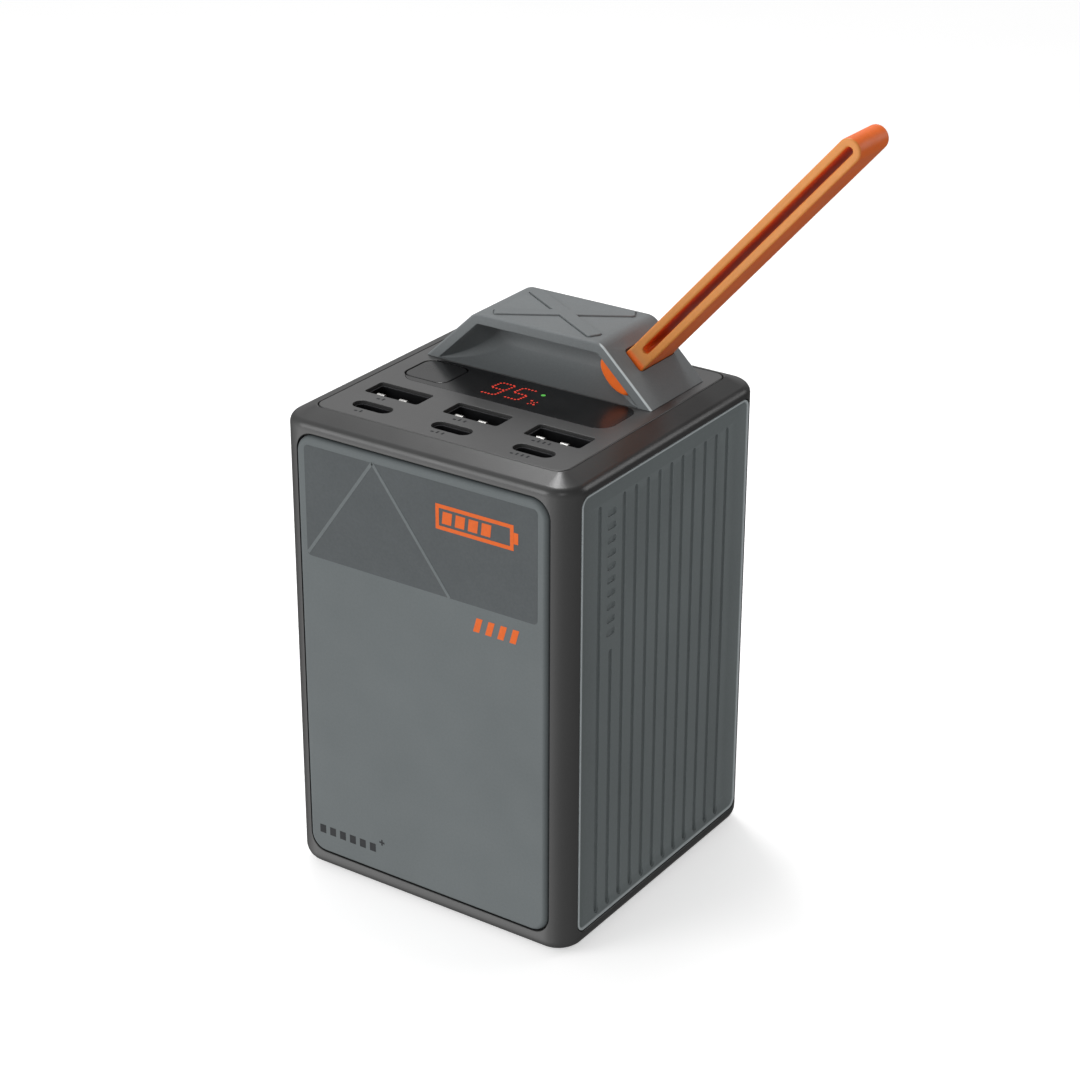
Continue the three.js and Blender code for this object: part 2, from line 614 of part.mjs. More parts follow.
// The frame that holds the cells down, open over their tabs.
function cellClamp() {
  const { slack, radius, openX, openY, gap } = CLAMP;
  return cut(
    plate(
      2 * (CAVITY.x - slack), 2 * (CAVITY.y - slack), radius, CELL.top + gap, BOARD.bottom - gap,
    ),
    box(-openX, openX, -openY, openY, CELL.top - 1, BOARD.bottom + 1),
  );
}

function batteryPack() {
  const first = -((CELL.count - 1) / 2) * CELL.pitch;
  for (let i = 0; i < CELL.count; i += 1) {
    place(`battery_cell_${i + 1}`, pouchCell(), paint.pouch).position.y = first + i * CELL.pitch;
  }
  const { halfX: foamX, thin, low, high } = FOAM;
  for (let i = 0; i < CELL.count - 1; i += 1) {
    const pad = place(`foam_pad_${i + 1}`, box(-foamX, foamX, -thin, thin, low, high), paint.foam);
    pad.position.y = first + (i + 0.5) * CELL.pitch;
  }
  const packDepth = (CELL.count - 1) * CELL.pitch + CELL.thick;
  place('cell_cradle', cellCradle(packDepth), paint.insulator);
  place('cell_clamp', cellClamp(), paint.insulator);
}

// ---- Electronics --------------------------------------------------------------------
function boards() {
  const { halfX: mainX, halfY: mainY, radius, bottom, thick } = BOARD;
  const mainBoard = plate(2 * mainX, 2 * mainY, radius, bottom, bottom + thick);
  const low = CELL.top + GUARD.above;
  const guard = box(-GUARD.halfX, GUARD.halfX, -GUARD.halfY, GUARD.halfY, low, low + GUARD.thick);
  place('main_board', mainBoard, paint.circuit);
  place('protection_board', guard, paint.circuit);
  [['positive', 1], ['negative', -1]].forEach(([sign, side]) => {
    const { x, half, halfY: reach } = TERMINAL;
    const strip = box(side * x - half, side * x + half, -reach, reach, low, bottom - 0.1);
    place(`terminal_strip_${sign}`, strip, paint.nickel);
  });
}

function boardParts() {
  const top = BOARD.bottom + BOARD.thick;
  const foot = top + BOARD.solder;
  [-1, 0, 1].forEach((step, i) => {
    const { pitch, y, side, radius, round } = INDUCTOR;
    const inductor = plate(side, side, radius, foot, top + INDUCTOR.top, round);
    place(`power_inductor_${i + 1}`, inductor, paint.insulator).position.set(step * pitch, y, 0);
  });
  [-1, 1].forEach((side, i) => {
    const { x, y, radius } = CAPACITOR;
    const can = rod(radius, side * x, y, foot, top + CAPACITOR.top, 18);
    place(`filter_capacitor_${i + 1}`, can, paint.aluminium);
  });
  const chip = box(-CHIP.half, CHIP.half, CHIP.front, CHIP.rear, foot, top + CHIP.top);
  place('controller_chip', chip, paint.insulator);
  const { halfX: finX, front, rear, foot: footTop, fin, top: finTop } = SPREADER;
  place('heat_spreader', join(
    box(-finX, finX, front, rear, foot, top + footTop),
    box(-finX, finX, rear - fin, rear, top + 1, finTop),
  ), paint.aluminium);
}

casing();
floor();
displayAndButton();
sockets();
bridgeAndScrews();
strap();
batteryPack();
boards();
boardParts();

export default station;
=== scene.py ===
"""Looks for a small camping power station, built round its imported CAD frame."""
import json
import math

import bmesh
import bpy
from mathutils import Matrix, Vector


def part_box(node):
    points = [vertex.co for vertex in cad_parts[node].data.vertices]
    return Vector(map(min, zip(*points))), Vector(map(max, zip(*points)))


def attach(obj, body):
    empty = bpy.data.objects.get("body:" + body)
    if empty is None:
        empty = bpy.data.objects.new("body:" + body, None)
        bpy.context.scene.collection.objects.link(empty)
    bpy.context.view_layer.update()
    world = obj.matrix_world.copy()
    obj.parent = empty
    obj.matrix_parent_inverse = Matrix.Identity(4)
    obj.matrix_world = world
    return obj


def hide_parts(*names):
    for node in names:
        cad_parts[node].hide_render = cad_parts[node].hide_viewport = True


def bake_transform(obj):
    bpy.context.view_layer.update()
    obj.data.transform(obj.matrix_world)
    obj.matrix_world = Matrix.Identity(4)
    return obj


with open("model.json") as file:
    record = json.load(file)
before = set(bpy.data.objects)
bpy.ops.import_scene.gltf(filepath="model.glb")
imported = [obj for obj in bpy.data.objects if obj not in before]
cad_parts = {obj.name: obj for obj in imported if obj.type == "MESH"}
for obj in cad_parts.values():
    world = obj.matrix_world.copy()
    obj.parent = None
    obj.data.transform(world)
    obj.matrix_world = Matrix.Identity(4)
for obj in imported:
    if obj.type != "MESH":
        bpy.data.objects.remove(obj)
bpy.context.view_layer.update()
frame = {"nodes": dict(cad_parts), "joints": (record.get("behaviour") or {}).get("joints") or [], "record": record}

MM = 0.001
QUARTER = math.pi / 2


# ---- Sizes, in millimetres: the frame's own, then finer details ----------------------
def span(node):
    low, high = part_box(node)
    return Vector(low) / MM, Vector(high) / MM


def middle(node):
    low, high = span(node)
    return (low + high) / 2


BODY_LOW, BODY_HIGH = span("body_frame")
DECK_LOW, DECK_HIGH = span("top_deck")
BRIDGE_LOW, BRIDGE_HIGH = span("grip_bridge")
WINDOW_LOW, WINDOW_HIGH = span("display_window")
PANEL_LOW, PANEL_HIGH = span("front_panel")
RIBBED_LOW, RIBBED_HIGH = span("right_side_panel")
BUTTON_LOW, BUTTON_HIGH = span("power_button")
STRAP_LOW, STRAP_HIGH = span("strap_loop")

WIDTH = BODY_HIGH.x - BODY_LOW.x
DEPTH = BODY_HIGH.y - BODY_LOW.y
DECK_Z = DECK_HIGH.z
BASE_Z = BODY_LOW.z
CORNER = 6.5  # vertical corners of the body
BOTTOM_ROUND = 3.6
SHOULDER_TILT = math.radians(21)
SHOULDER_ROUNDS = (2.2, 1.0)  # where the wall turns in, and at the seam
SEAM = 0.17  # half of the seam round the deck
LEDGE = DECK_LOW.z - 0.2  # just below the deck
PAST = 1  # how far a cutting tool runs past what it cuts

# Straight cuts in the casing: width, depth, corner radius, lowest and highest level.
CASING_CUTS = (
    (59.2, 59.2, 2, 103, LEDGE + PAST),  # the mouth under the deck
    (64.6, 65.4, 3, 8.2, 104.7),  # the battery bay
    (59.2, 47, 2, 1, 9),  # a cross through the floor
    (47, 59.2, 2, 1, 9),
)
COVER_RECESS = (63.4, 4.2, 2.5)  # side, corner radius, top
COVER_CHAMFER = 0.2
COVER_RADIUS = 4
PAD_RADIUS = 5
SCREW_HOLE = 4.8
SCREW_STEP = (0.9, 1.7)  # width and level of the step that a bottom screw sits on

PANEL_RADIUS = 4.0
PANEL_GAP = 0.35
PANEL_POCKET = 2.1
PANEL_ROUND = 1.1
RIBBED_RADIUS = 2.2
RIBBED_GAP = 0.2
RIBBED_POCKET = 2.9
BASIN_EDGE = 4.0
BASIN_LIP = 0.4
BASIN_DEPTH = 0.75
GROOVE_COUNT = 12
GROOVE_PITCH = 4.48
GROOVE_WIDTH = 1.3
GROOVE_DEPTH = 0.8
GROOVE_ROUND = 0.4
GROOVE_FLARE = 0.14
GROOVE_SPAN = (6.1, 100.8)
GAUGE_SPAN = (69.6, 99.5)
GAUGE_MARKS = 10
GAUGE_SIZE = (3.2, 1.6, 0.55)  # width, gap between marks, corner radius
GAUGE_DEPTH = 0.45
GAUGE_ROUND = 0.2
SHORT_GROOVE_TOP = 67.2

DECK_RADIUS = 2.8
WINDOW_GAP = 0.07
WINDOW_RADIUS = 3.9
WINDOW_SINK = 0.03  # below the deck's face
WINDOW_POCKET = 1.25
DISPLAY_BAY = (20.6, 9.2, 0.5)  # width, depth, corner radius
DISPLAY_AT = (1, -3, 0)
BUTTON_FLANGE = 1.5  # how much wider the flange is than the cap
BUTTON_SLACK = 0.44
BUTTON_RADIUS = 2.5
BUTTON_SINK = 0.02
FLANGE_THICKNESS = 0.8
BRIDGE_SCREW_HOLE = 2.6
SOCKET_GAP = 0.3
LARGE_SOCKET = (0.6, 0.35, 0.7)  # corner radius, wall, corner radius of the deck's hole
SMALL_SOCKET = (1.62, 0.3, 1.92)
SOCKET_FLOOR = 0.5
SPRING_SPREAD = 2.9
SPRING_SECTION = (1.9, 0.2, 0.08)  # width, thickness, corner radius
# The spring's middle line: distance behind the sleeve's front, height from its top.
SPRING_LINE = ((-0.12, 0.22), (0.15, 0.42), (0.55, 0.46), (0.9, 0.25), (1.1, -0.2),
               (1.12, -1.0), (0.85, -2.4), (0.6, -4.0), (0.46, -5.6))

RIB_HEIGHT = 0.35
RIB_SIZE = (30, 3.2, 0.6)  # length, width, corner radius
RIB_RIM = 0.2
RIB_MARGIN = 5  # what the crossing ribs leave clear, both ends together
MOAT_WIDTH = 0.26
MOAT_DEPTH = 0.22
BRIDGE_TOP = BRIDGE_HIGH.z - RIB_HEIGHT
BRIDGE_CREST = 16.0  # half width where the slopes would meet the flat top
BRIDGE_WALL = 2.3
BRIDGE_ROUND = 3.5
BRIDGE_RIMS = (0.45, 1.2)  # roundings at the front and the rear
POCKET_SILL = DECK_Z + 0.1
POCKET_LIP = 0.3
POCKET_BACK_ROUND = 0.6
POCKET_DEPTH = 8.5
POCKET_RAMP = 5.0  # height over which the pocket's floor curves up
POCKET_CEILING = BRIDGE_TOP - 2.4
POCKET_FLARE = 8.0  # depth at which the pocket's ends stop flaring
POCKET_BACK = 15.5  # half width of the pocket's back
SLOPE = math.atan2(BRIDGE_TOP - DECK_Z, BRIDGE_HIGH.x - BRIDGE_CREST)
PIVOT = Vector(next(j for j in frame["joints"] if j["name"] == "strap_swing")["pos_m"]) / MM
PIVOT_LIFT = 3.8  # pivot above the bridge's slope
STRAP_LEAN = math.radians(48.5)  # above level
STRAP_REACH = 73.4  # from the slope to the tip
STRAP_ARM = 1.8
STRAP_ROUND = 2.6
STRAP_WIDTH = 12.0
BAND_RIM = 0.5
HEAD_HALF = 4.8  # half width of the strap's inner end, along the slope
HEAD_SPAN = (6.0, 24.2)  # the same, along Y
HEAD_EDGE = 0.5
HEAD_DOME = 2.7
HEAD_SHIFT = 0.5  # down the slope
HEAD_RIMS = (0.8, 0.3)  # roundings at the front and the rear
HEAD_DROP = 0.3  # below the slope's inner face
# Along the slope, along Y, corner radius.
STRAP_RECESS = (5.7, 13.9, 0.9)
STRAP_HOLE = (4.3, 13.1, 0.8)
STRAP_NECK = (3.6, 12.4, 0.6)
HEAD_CLEARANCE = 0.03
ROOT_SLIM = 0.02  # how much thinner the root is than the band, on each side
# The squared root of the band: levels from the bending line, and the width at each.
ROOT_STEPS = ((-4.35, 13.2), (-3.7, 13.25), (-3.3, 13.1), (-2.7, 12.7), (-2.0, 12.3),
              (-1.2, 12.05), (-0.4, 11.96), (0.8, 11.9))
# How far the slot widens where it leaves the root, and where that is along Y.
ROOT_FLARE = ((-0.4, -9), (-0.4, -6.3), (-0.15, -6.0), (0, -5.6), (0, 5.6), (-0.15, 6.0),
              (-0.4, 6.3), (-0.4, 9))

# The side that each standing panel faces, as a turn about Z from the front.
FRONT, RIGHT, REAR, LEFT = 0, QUARTER, math.pi, -QUARTER


# ---- Mesh helpers --------------------------------------------------------------------
def arc_steps(count):
    return [i / count for i in range(count + 1)]


def quarter(steps):
    """1 - sine and 1 - cosine over a quarter turn."""
    angles = [t * QUARTER for t in arc_steps(steps)]
    return [(1 - math.sin(a), 1 - math.cos(a)) for a in angles]


def over(node):
    """A place at the middle of a node in plan, and at level 0."""
    centre = middle(node)
    return Matrix.Translation((centre.x, centre.y, 0))


def drill(node, width, profile, steps=8):
    """A tool for a round hole at the middle of a node."""
    return plate("t", width, width, width / 2, profile, over(node), steps)


def raised(outline, place, level):
    return [place @ Vector((x, y, level)) for x, y in outline]


def rounded_rect(width, height, radius, steps):
    points = []
    for turn, (sx, sy) in enumerate([(1, 1), (-1, 1), (-1, -1), (1, -1)]):
        cx, cy = sx * (width / 2 - radius), sy * (height / 2 - radius)
        for t in arc_steps(steps):
            angle = (turn + t) * QUARTER
            points.append((cx + radius * math.cos(angle), cy + radius * math.sin(angle)))
    return points


def rounded_polygon(corners, radii, steps):
    """A convex outline whose corners are rounded; every corner gives the same number of points."""
    points = []
    count = len(corners)
    for i, radius in enumerate(radii):
        corner = Vector(corners[i])
        before = (Vector(corners[i - 1]) - corner).normalized()
        after = (Vector(corners[(i + 1) % count]) - corner).normalized()
        half = before.angle(after) / 2
        centre = corner + (before + after).normalized() * radius / math.sin(half)
        start = corner + before * radius / math.tan(half) - centre
        turn = start.angle_signed(corner + after * radius / math.tan(half) - centre)
        for t in arc_steps(steps):
            point = centre + Matrix.Rotation(-turn * t, 2) @ start
            points.append((point.x, point.y))
    return points


def new_object(name, points, faces):
    """A mesh object from points in millimetres, with its faces turned outwards."""
    mesh = bpy.data.meshes.new(name)
    mesh.from_pydata([Vector(p) * MM for p in points], [], faces)
    work = bmesh.new()
    work.from_mesh(mesh)
    bmesh.ops.recalc_face_normals(work, faces=work.faces)
    work.to_mesh(mesh)
    work.free()
    piece = bpy.data.objects.new(name, mesh)
    bpy.context.scene.collection.objects.link(piece)
    return piece


def loft(name, rings, closed=False):
    """A skin through rings of 3-D points; a closed path joins its last ring to its first."""
    around = len(rings[0])
    points = [p for ring in rings for p in ring]
    faces = []
    for level in range(len(rings) if closed else len(rings) - 1):
        here = level * around
        there = ((level + 1) % len(rings)) * around
        for i in range(around):
            j = (i + 1) % around
            faces.append((here + i, here + j, there + j, there + i))
    if not closed:
        last = (len(rings) - 1) * around
        faces.append(tuple(reversed(range(around))))
        faces.append(tuple(range(last, last + around)))
    return new_object(name, points, faces)


LEAST_RADIUS = 0.12


def plate(name, width, height, radius, profile, place=None, steps=8):
    """A stack of rounded rectangles; profile lists (inset, level) pairs."""
    place = place or Matrix.Identity(4)
    rings = []
    for inset, level in profile:
        outline = rounded_rect(
            width - 2 * inset, height - 2 * inset, max(radius - inset, LEAST_RADIUS), steps
        )
        rings.append(raised(outline, place, level))
    return loft(name, rings)


def edges(low, high, low_round, high_round, steps=4):
    """The (inset, level) profile of a plate whose two rims are rounded."""
    below = [(low_round * s, low + low_round * c) for s, c in quarter(steps)]
    above = [(high_round * c, high - high_round * s) for s, c in quarter(steps)]
    return below + above


def mouth(floor, face, flare, steps=4):
    """The profile of a cutting tool that leaves a rounded lip where it meets the face."""
    lip = [(-flare * c, face - flare * s) for s, c in quarter(steps)]
    return [(0, floor), *lip, (-flare, face + 3 * PAST)]


def standing(turn, height):
    """Places a plate so that its X runs along a side, its Y up, and its Z out of that side."""
    upright = Matrix(((1, 0, 0, 0), (0, 0, -1, 0), (0, 1, 0, height), (0, 0, 0, 1)))
    return Matrix.Rotation(turn, 4, "Z") @ upright


def carve(piece, tools, operation="DIFFERENCE"):
    """Cuts the tools out of the piece, or joins them to it, and deletes them."""
    for tool in tools:
        boolean = piece.modifiers.new("carve", "BOOLEAN")
        boolean.operation = operation
        boolean.solver = "MANIFOLD"
        boolean.object = tool
    bpy.context.view_layer.update()
    graph = bpy.context.evaluated_depsgraph_get()
    shaped = bpy.data.meshes.new_from_object(piece.evaluated_get(graph))
    piece.modifiers.clear()
    piece.data = shaped
    for tool in tools:
        bpy.data.objects.remove(tool)
    return piece


def finish(piece, slot, material=None, body="case", stands_for=(), sharp=38):
    """Shading, the slot's own material or another, and the body that the piece rides on."""
    mesh = piece.data
    mesh.materials.clear()
    mesh.materials.append(material or MAT[slot])
    mesh.shade_smooth()
    mesh.set_sharp_from_angle(angle=math.radians(sharp))
    weighted = piece.modifiers.new("weighted", "WEIGHTED_NORMAL")
    weighted.keep_sharp = True
    if body:
        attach(piece, body)
    if stands_for:
        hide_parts(*stands_for)


# ---- Materials -----------------------------------------------------------------------
NOISE_MIDDLE = (0.3, 0.7)  # most of a noise lies between these values
EDGE_TURN = (0.52, 0.62)  # pointiness, from a nearly flat face to an outer edge


class Shader:
    """A Principled material with short ways to add procedural detail."""

    def __init__(self, name, colour, roughness, metallic=0.0, shine=0.5):
        self.material = bpy.data.materials.new(name)
        self.material.use_nodes = True
        self.tree = self.material.node_tree
        self.bsdf = self.tree.nodes["Principled BSDF"]
        self.bsdf.inputs["Metallic"].default_value = metallic
        self.bsdf.inputs["Specular IOR Level"].default_value = shine
        self.bsdf.inputs["Roughness"].default_value = roughness
        self.coords = self.tree.nodes.new("ShaderNodeTexCoord").outputs["Object"]
        self.colour = self.rgb(colour)
        self.rough_out = None
        self.normal = None

    def node(self, kind, **values):
        made = self.tree.nodes.new(kind)
        for key, value in values.items():
            setattr(made, key, value)
        return made

    def link(self, a, b):
        self.tree.links.new(a, b)

    def rgb(self, colour):
        made = self.tree.nodes.new("ShaderNodeRGB")
        made.outputs[0].default_value = (*colour, 1)
        return made.outputs[0]

    def noise(self, size_mm, detail=2.0, stretch=None):
        """Noise whose features are about size_mm across, optionally stretched along an axis."""
        made = self.node("ShaderNodeTexNoise")
        made.inputs["Scale"].default_value = 1 / (size_mm * MM)
        made.inputs["Detail"].default_value = detail
        coords = self.coords
        if stretch:
            mapping = self.node("ShaderNodeMapping")
            mapping.inputs["Scale"].default_value = stretch
            self.link(coords, mapping.inputs["Vector"])
            coords = mapping.outputs["Vector"]
        self.link(coords, made.inputs["Vector"])
        return made.outputs["Fac"]

    def ramp(self, value, start, end, low=0.0, high=1.0):
        """Goes from low to high as the value goes from start to end."""
        made = self.node("ShaderNodeMapRange")
        limits = {"From Min": start, "From Max": end, "To Min": low, "To Max": high}
        for key, limit in limits.items():
            made.inputs[key].default_value = limit
        self.link(value, made.inputs["Value"])
        return made.outputs["Result"]

    def spread(self, value, low, high):
        """Maps the useful middle of a noise to low..high."""
        return self.ramp(value, *NOISE_MIDDLE, low, high)

    def shade(self, value, low, high):
        """Multiplies the colour by low..high as the value goes from 0 to 1."""
        mix = self.node("ShaderNodeMix", data_type="RGBA", blend_type="MULTIPLY")
        mix.inputs["Factor"].default_value = 1
        grey = self.spread(value, low, high)
        self.link(self.colour, mix.inputs["A"])
        self.link(grey, mix.inputs["B"])
        self.colour = mix.outputs["Result"]

    def blend_to(self, mask, colour):
        mix = self.node("ShaderNodeMix", data_type="RGBA")
        self.link(mask, mix.inputs["Factor"])
        self.link(self.colour, mix.inputs["A"])
        self.link(self.rgb(colour), mix.inputs["B"])
        self.colour = mix.outputs["Result"]

    def worn_and_highlit_edges(self, colour, strength):
        """A slight lightening where the surface turns sharply outwards: partly wear, partly a painted highlight.
        """
        point = self.node("ShaderNodeNewGeometry").outputs["Pointiness"]
        self.blend_to(self.ramp(point, *EDGE_TURN, high=strength), colour)

    def beyond(self, direction, start_mm, end_mm):
        """Goes from 0 to 1 as a point passes from start to end along a direction."""
        along = self.node("ShaderNodeVectorMath", operation="DOT_PRODUCT")
        self.link(self.coords, along.inputs[0])
        along.inputs[1].default_value = direction
        return self.ramp(along.outputs["Value"], start_mm * MM, end_mm * MM)

    def painted_highlights(self, colour, limits):
        """Paints a paler tint, a painted highlight, where a point is beyond every one of the limits."""
        mask = None
        for limit in limits:
            part = self.beyond(*limit)
            if mask:
                both = self.node("ShaderNodeMath", operation="MULTIPLY")
                self.link(mask, both.inputs[0])
                self.link(part, both.inputs[1])
                part = both.outputs[0]
            mask = part
        self.blend_to(mask, colour)

    def bump(self, height, depth_mm, strength=1.0):
        made = self.node("ShaderNodeBump")
        made.inputs["Strength"].default_value = strength
        made.inputs["Distance"].default_value = depth_mm * MM
        self.link(height, made.inputs["Height"])
        if self.normal:
            self.link(self.normal, made.inputs["Normal"])
        self.normal = made.outputs["Normal"]

    def done(self):
        self.link(self.colour, self.bsdf.inputs["Base Color"])
        if self.rough_out:
            self.link(self.rough_out, self.bsdf.inputs["Roughness"])
        if self.normal:
            self.link(self.normal, self.bsdf.inputs["Normal"])
        return self.material


def moulded_plastic(name, colour, roughness, shine=0.5, edge=0.15, painted_highlights=()):
    """Spark-eroded plastic: fine grain, faint handling marks, slightly lightened edges (partly wear, partly
    painted highlight), and painted highlights where listed.
    """
    s = Shader(name, colour, roughness, shine=shine)
    # Painted highlights along the listed edges.
    for tint, limits in painted_highlights:
        s.painted_highlights(tint, limits)
    s.shade(s.noise(26, 3), 0.955, 1.045)
    s.shade(s.noise(0.55, 2), 0.965, 1.035)
    # Edges lightened partly by wear, partly as a painted highlight.
    s.worn_and_highlit_edges([min(1, c * 1.5 + 0.02) for c in colour], edge)
    s.rough_out = s.spread(s.noise(9, 4), roughness - 0.035, roughness + 0.035)
    s.bump(s.noise(0.3, 3), 0.012)
    s.bump(s.noise(40, 1), 0.05, 0.5)
    return s.done()


def elastomer(name, colour, painted_highlights):
    """Soft moulded strap: silky surface with very fine pores and faint long flow marks."""
    s = Shader(name, colour, 0.42, shine=0.3)
    # Painted sheen along the listed edges.
    for tint, limits in painted_highlights:
        s.painted_highlights(tint, limits)
    s.shade(s.noise(14, 3), 0.93, 1.06)
    s.shade(s.noise(0.8, 2), 0.97, 1.03)
    s.rough_out = s.spread(s.noise(5, 4), 0.36, 0.48)
    s.bump(s.noise(0.45, 3), 0.02)
    s.bump(s.noise(6, 2), 0.06, 0.6)
    s.bsdf.inputs["Subsurface Weight"].default_value = 0.08
    s.bsdf.inputs["Subsurface Radius"].default_value = (0.003, 0.0012, 0.0004)
    return s.done()


def smoked_acrylic(name):
    s = Shader(name, (0.007, 0.007, 0.0075), 0.24, shine=0.38)
    s.shade(s.noise(20, 2), 0.9, 1.1)
    s.rough_out = s.spread(s.noise(7, 4), 0.2, 0.28)
    s.bump(s.noise(30, 1), 0.02, 0.3)
    return s.done()


def rubber(name, colour):
    s = Shader(name, colour, 0.8)
    s.shade(s.noise(12, 3), 0.9, 1.1)
    s.rough_out = s.spread(s.noise(3, 3), 0.72, 0.88)
    s.bump(s.noise(0.5, 3), 0.05)
    return s.done()


def metal(name, colour, roughness, stretch=(1, 1, 0.08)):
    """Drawn or rolled sheet, with fine lines along one axis."""
    s = Shader(name, colour, roughness, metallic=1.0)
    s.shade(s.noise(6, 3), 0.92, 1.06)
    lines = s.noise(0.12, 2, stretch)
    s.rough_out = s.spread(lines, roughness - 0.07, roughness + 0.1)
    s.bump(lines, 0.006)
    return s.done()


def printed_ink(name, colour):
    """A thin pad print: slightly uneven cover over the grain below."""
    s = Shader(name, colour, 0.5, shine=0.15)
    s.shade(s.noise(0.6, 3), 0.94, 1.05)
    s.shade(s.noise(18, 2), 0.97, 1.03)
    s.rough_out = s.spread(s.noise(4, 3), 0.46, 0.55)
    s.bump(s.noise(0.3, 3), 0.008)
    return s.done()


def laminate(name):
    """Solder-masked circuit board with faint copper under the mask."""
    s = Shader(name, (0.012, 0.075, 0.035), 0.35)
    cells = s.node("ShaderNodeTexVoronoi", feature="DISTANCE_TO_EDGE")
    cells.inputs["Scale"].default_value = 1 / (2.5 * MM)
    s.link(s.coords, cells.inputs["Vector"])
    s.shade(cells.outputs["Distance"], 0.8, 1.25)
    s.rough_out = s.spread(s.noise(3, 3), 0.3, 0.42)
    s.bump(cells.outputs["Distance"], 0.02)
    return s.done()


def pouch_foil(name):
    s = Shader(name, (0.5, 0.52, 0.53), 0.35, metallic=0.85)
    s.shade(s.noise(15, 3), 0.9, 1.08)
    s.rough_out = s.spread(s.noise(2, 4), 0.28, 0.45)
    s.bump(s.noise(9, 2), 0.12, 0.7)
    return s.done()


def lit(name, colour, strength):
    """A lit mark behind the smoked window."""
    s = Shader(name, [c * 0.4 for c in colour], 0.3)
    s.shade(s.noise(0.4, 1), 0.85, 1.1)
    s.bsdf.inputs["Emission Color"].default_value = (*colour, 1)
    s.bsdf.inputs["Emission Strength"].default_value = strength
    return s.done()


# Painted highlights and painted sheen along edges. Each is a tint, then limits: a direction, and how far
# along it the tint starts and is complete.
PANEL_HIGHLIGHT_TINT, BRIDGE_HIGHLIGHT_TINT, STRAP_SHEEN_TINT = (0.42, 0.46, 0.47), (0.50, 0.54, 0.55), (0.53, 0.205, 0.048)
SLOPE_OUT = (math.sin(SLOPE), 0, math.cos(SLOPE))
SLOPE_LEVEL = BRIDGE_HIGH.x * SLOPE_OUT[0] + DECK_Z * SLOPE_OUT[2]
# A painted highlight on the lips of the ribbed side panels.
PANEL_LIP_HIGHLIGHTS = [(PANEL_HIGHLIGHT_TINT, [((side, 0, 0), RIBBED_HIGH.x - 0.3, RIBBED_HIGH.x - 0.12)])
              for side in (-1, 1)]
# A painted highlight along the edge between the bridge's front and its right slope.
BRIDGE_EDGE_HIGHLIGHT = [(BRIDGE_HIGHLIGHT_TINT, [
    (SLOPE_OUT, SLOPE_LEVEL - 0.5, SLOPE_LEVEL - 0.3),
    ((0, -1, 0), -BRIDGE_LOW.y - 0.5, -BRIDGE_LOW.y - 0.35),
    ((0, 1, 0), BRIDGE_LOW.y + 0.01, BRIDGE_LOW.y + 0.06),
])]
# Painted sheen on the band's two long rims; the second limit leaves out what lies beyond the band.
STRAP_EDGE_SHEEN = [(STRAP_SHEEN_TINT, [((0, side, 0), side * level - 0.5, side * level - 0.1),
                        ((0, -side, 0), -side * level - 0.5, -side * level - 0.3)])
               for side, level in ((-1, STRAP_LOW.y), (1, STRAP_HIGH.y))]

MAT = {
    "frame_plastic": moulded_plastic("frame_plastic", (0.024, 0.024, 0.024), 0.32, 0.5, 0.3),
    "panel_plastic": moulded_plastic("panel_plastic", (0.086, 0.098, 0.101), 0.55, 0.25),
    "ribbed_plastic": moulded_plastic("ribbed_plastic", (0.150, 0.170, 0.173), 0.5, 0.3,
                                      painted_highlights=PANEL_LIP_HIGHLIGHTS),
    "deck_plastic": moulded_plastic("deck_plastic", (0.045, 0.045, 0.045), 0.34, 0.5),
    "bridge_plastic": moulded_plastic("bridge_plastic", (0.150, 0.162, 0.166), 0.55, 0.25,
                                      painted_highlights=BRIDGE_EDGE_HIGHLIGHT),
    "smoked_window": smoked_acrylic("smoked_window"),
    "strap_elastomer": elastomer("strap_elastomer", (0.80, 0.145, 0.017), STRAP_EDGE_SHEEN),
    "pad_rubber": rubber("pad_rubber", (0.018, 0.018, 0.018)),
    # Near-black sleeves, darker than bare steel: painted shade, so that the sockets read black inside.
    "port_steel": metal("port_steel", (0.03, 0.03, 0.032), 0.5),
    "stamped_steel": metal("stamped_steel", (0.5, 0.51, 0.52), 0.3),
    "insulator": moulded_plastic("insulator", (0.01, 0.01, 0.01), 0.5),
    "ferrite": rubber("ferrite", (0.045, 0.045, 0.045)),
    "circuit_board": laminate("circuit_board"),
    "cell_pouch": pouch_foil("cell_pouch"),
    "cell_foam": rubber("cell_foam", (0.06, 0.06, 0.06)),
    "nickel": metal("nickel", (0.6, 0.58, 0.52), 0.3, (1, 0.1, 1)),
    "heat_aluminium": metal("heat_aluminium", (0.65, 0.66, 0.67), 0.35),
    "digit_display": lit("digit_display", (0.5, 0.02, 0.01), 0.05),
    "status_lens": lit("status_lens", (0.05, 0.5, 0.08), 0.05),
}
INK = {
    "band": printed_ink("ink_band", (0.057, 0.064, 0.067)),
    "pale": printed_ink("ink_pale", (0.100, 0.112, 0.115)),
    "orange": printed_ink("ink_orange", (0.54, 0.095, 0.012)),
    "dark": printed_ink("ink_dark", (0.014, 0.015, 0.017)),
    "red_light": lit("ink_red_light", (1.0, 0.07, 0.04), 0.42),
    "green_light": lit("ink_green_light", (0.16, 0.75, 0.12), 0.35),
    "contact": metal("contact_spring", (0.36, 0.355, 0.345), 0.4),
}


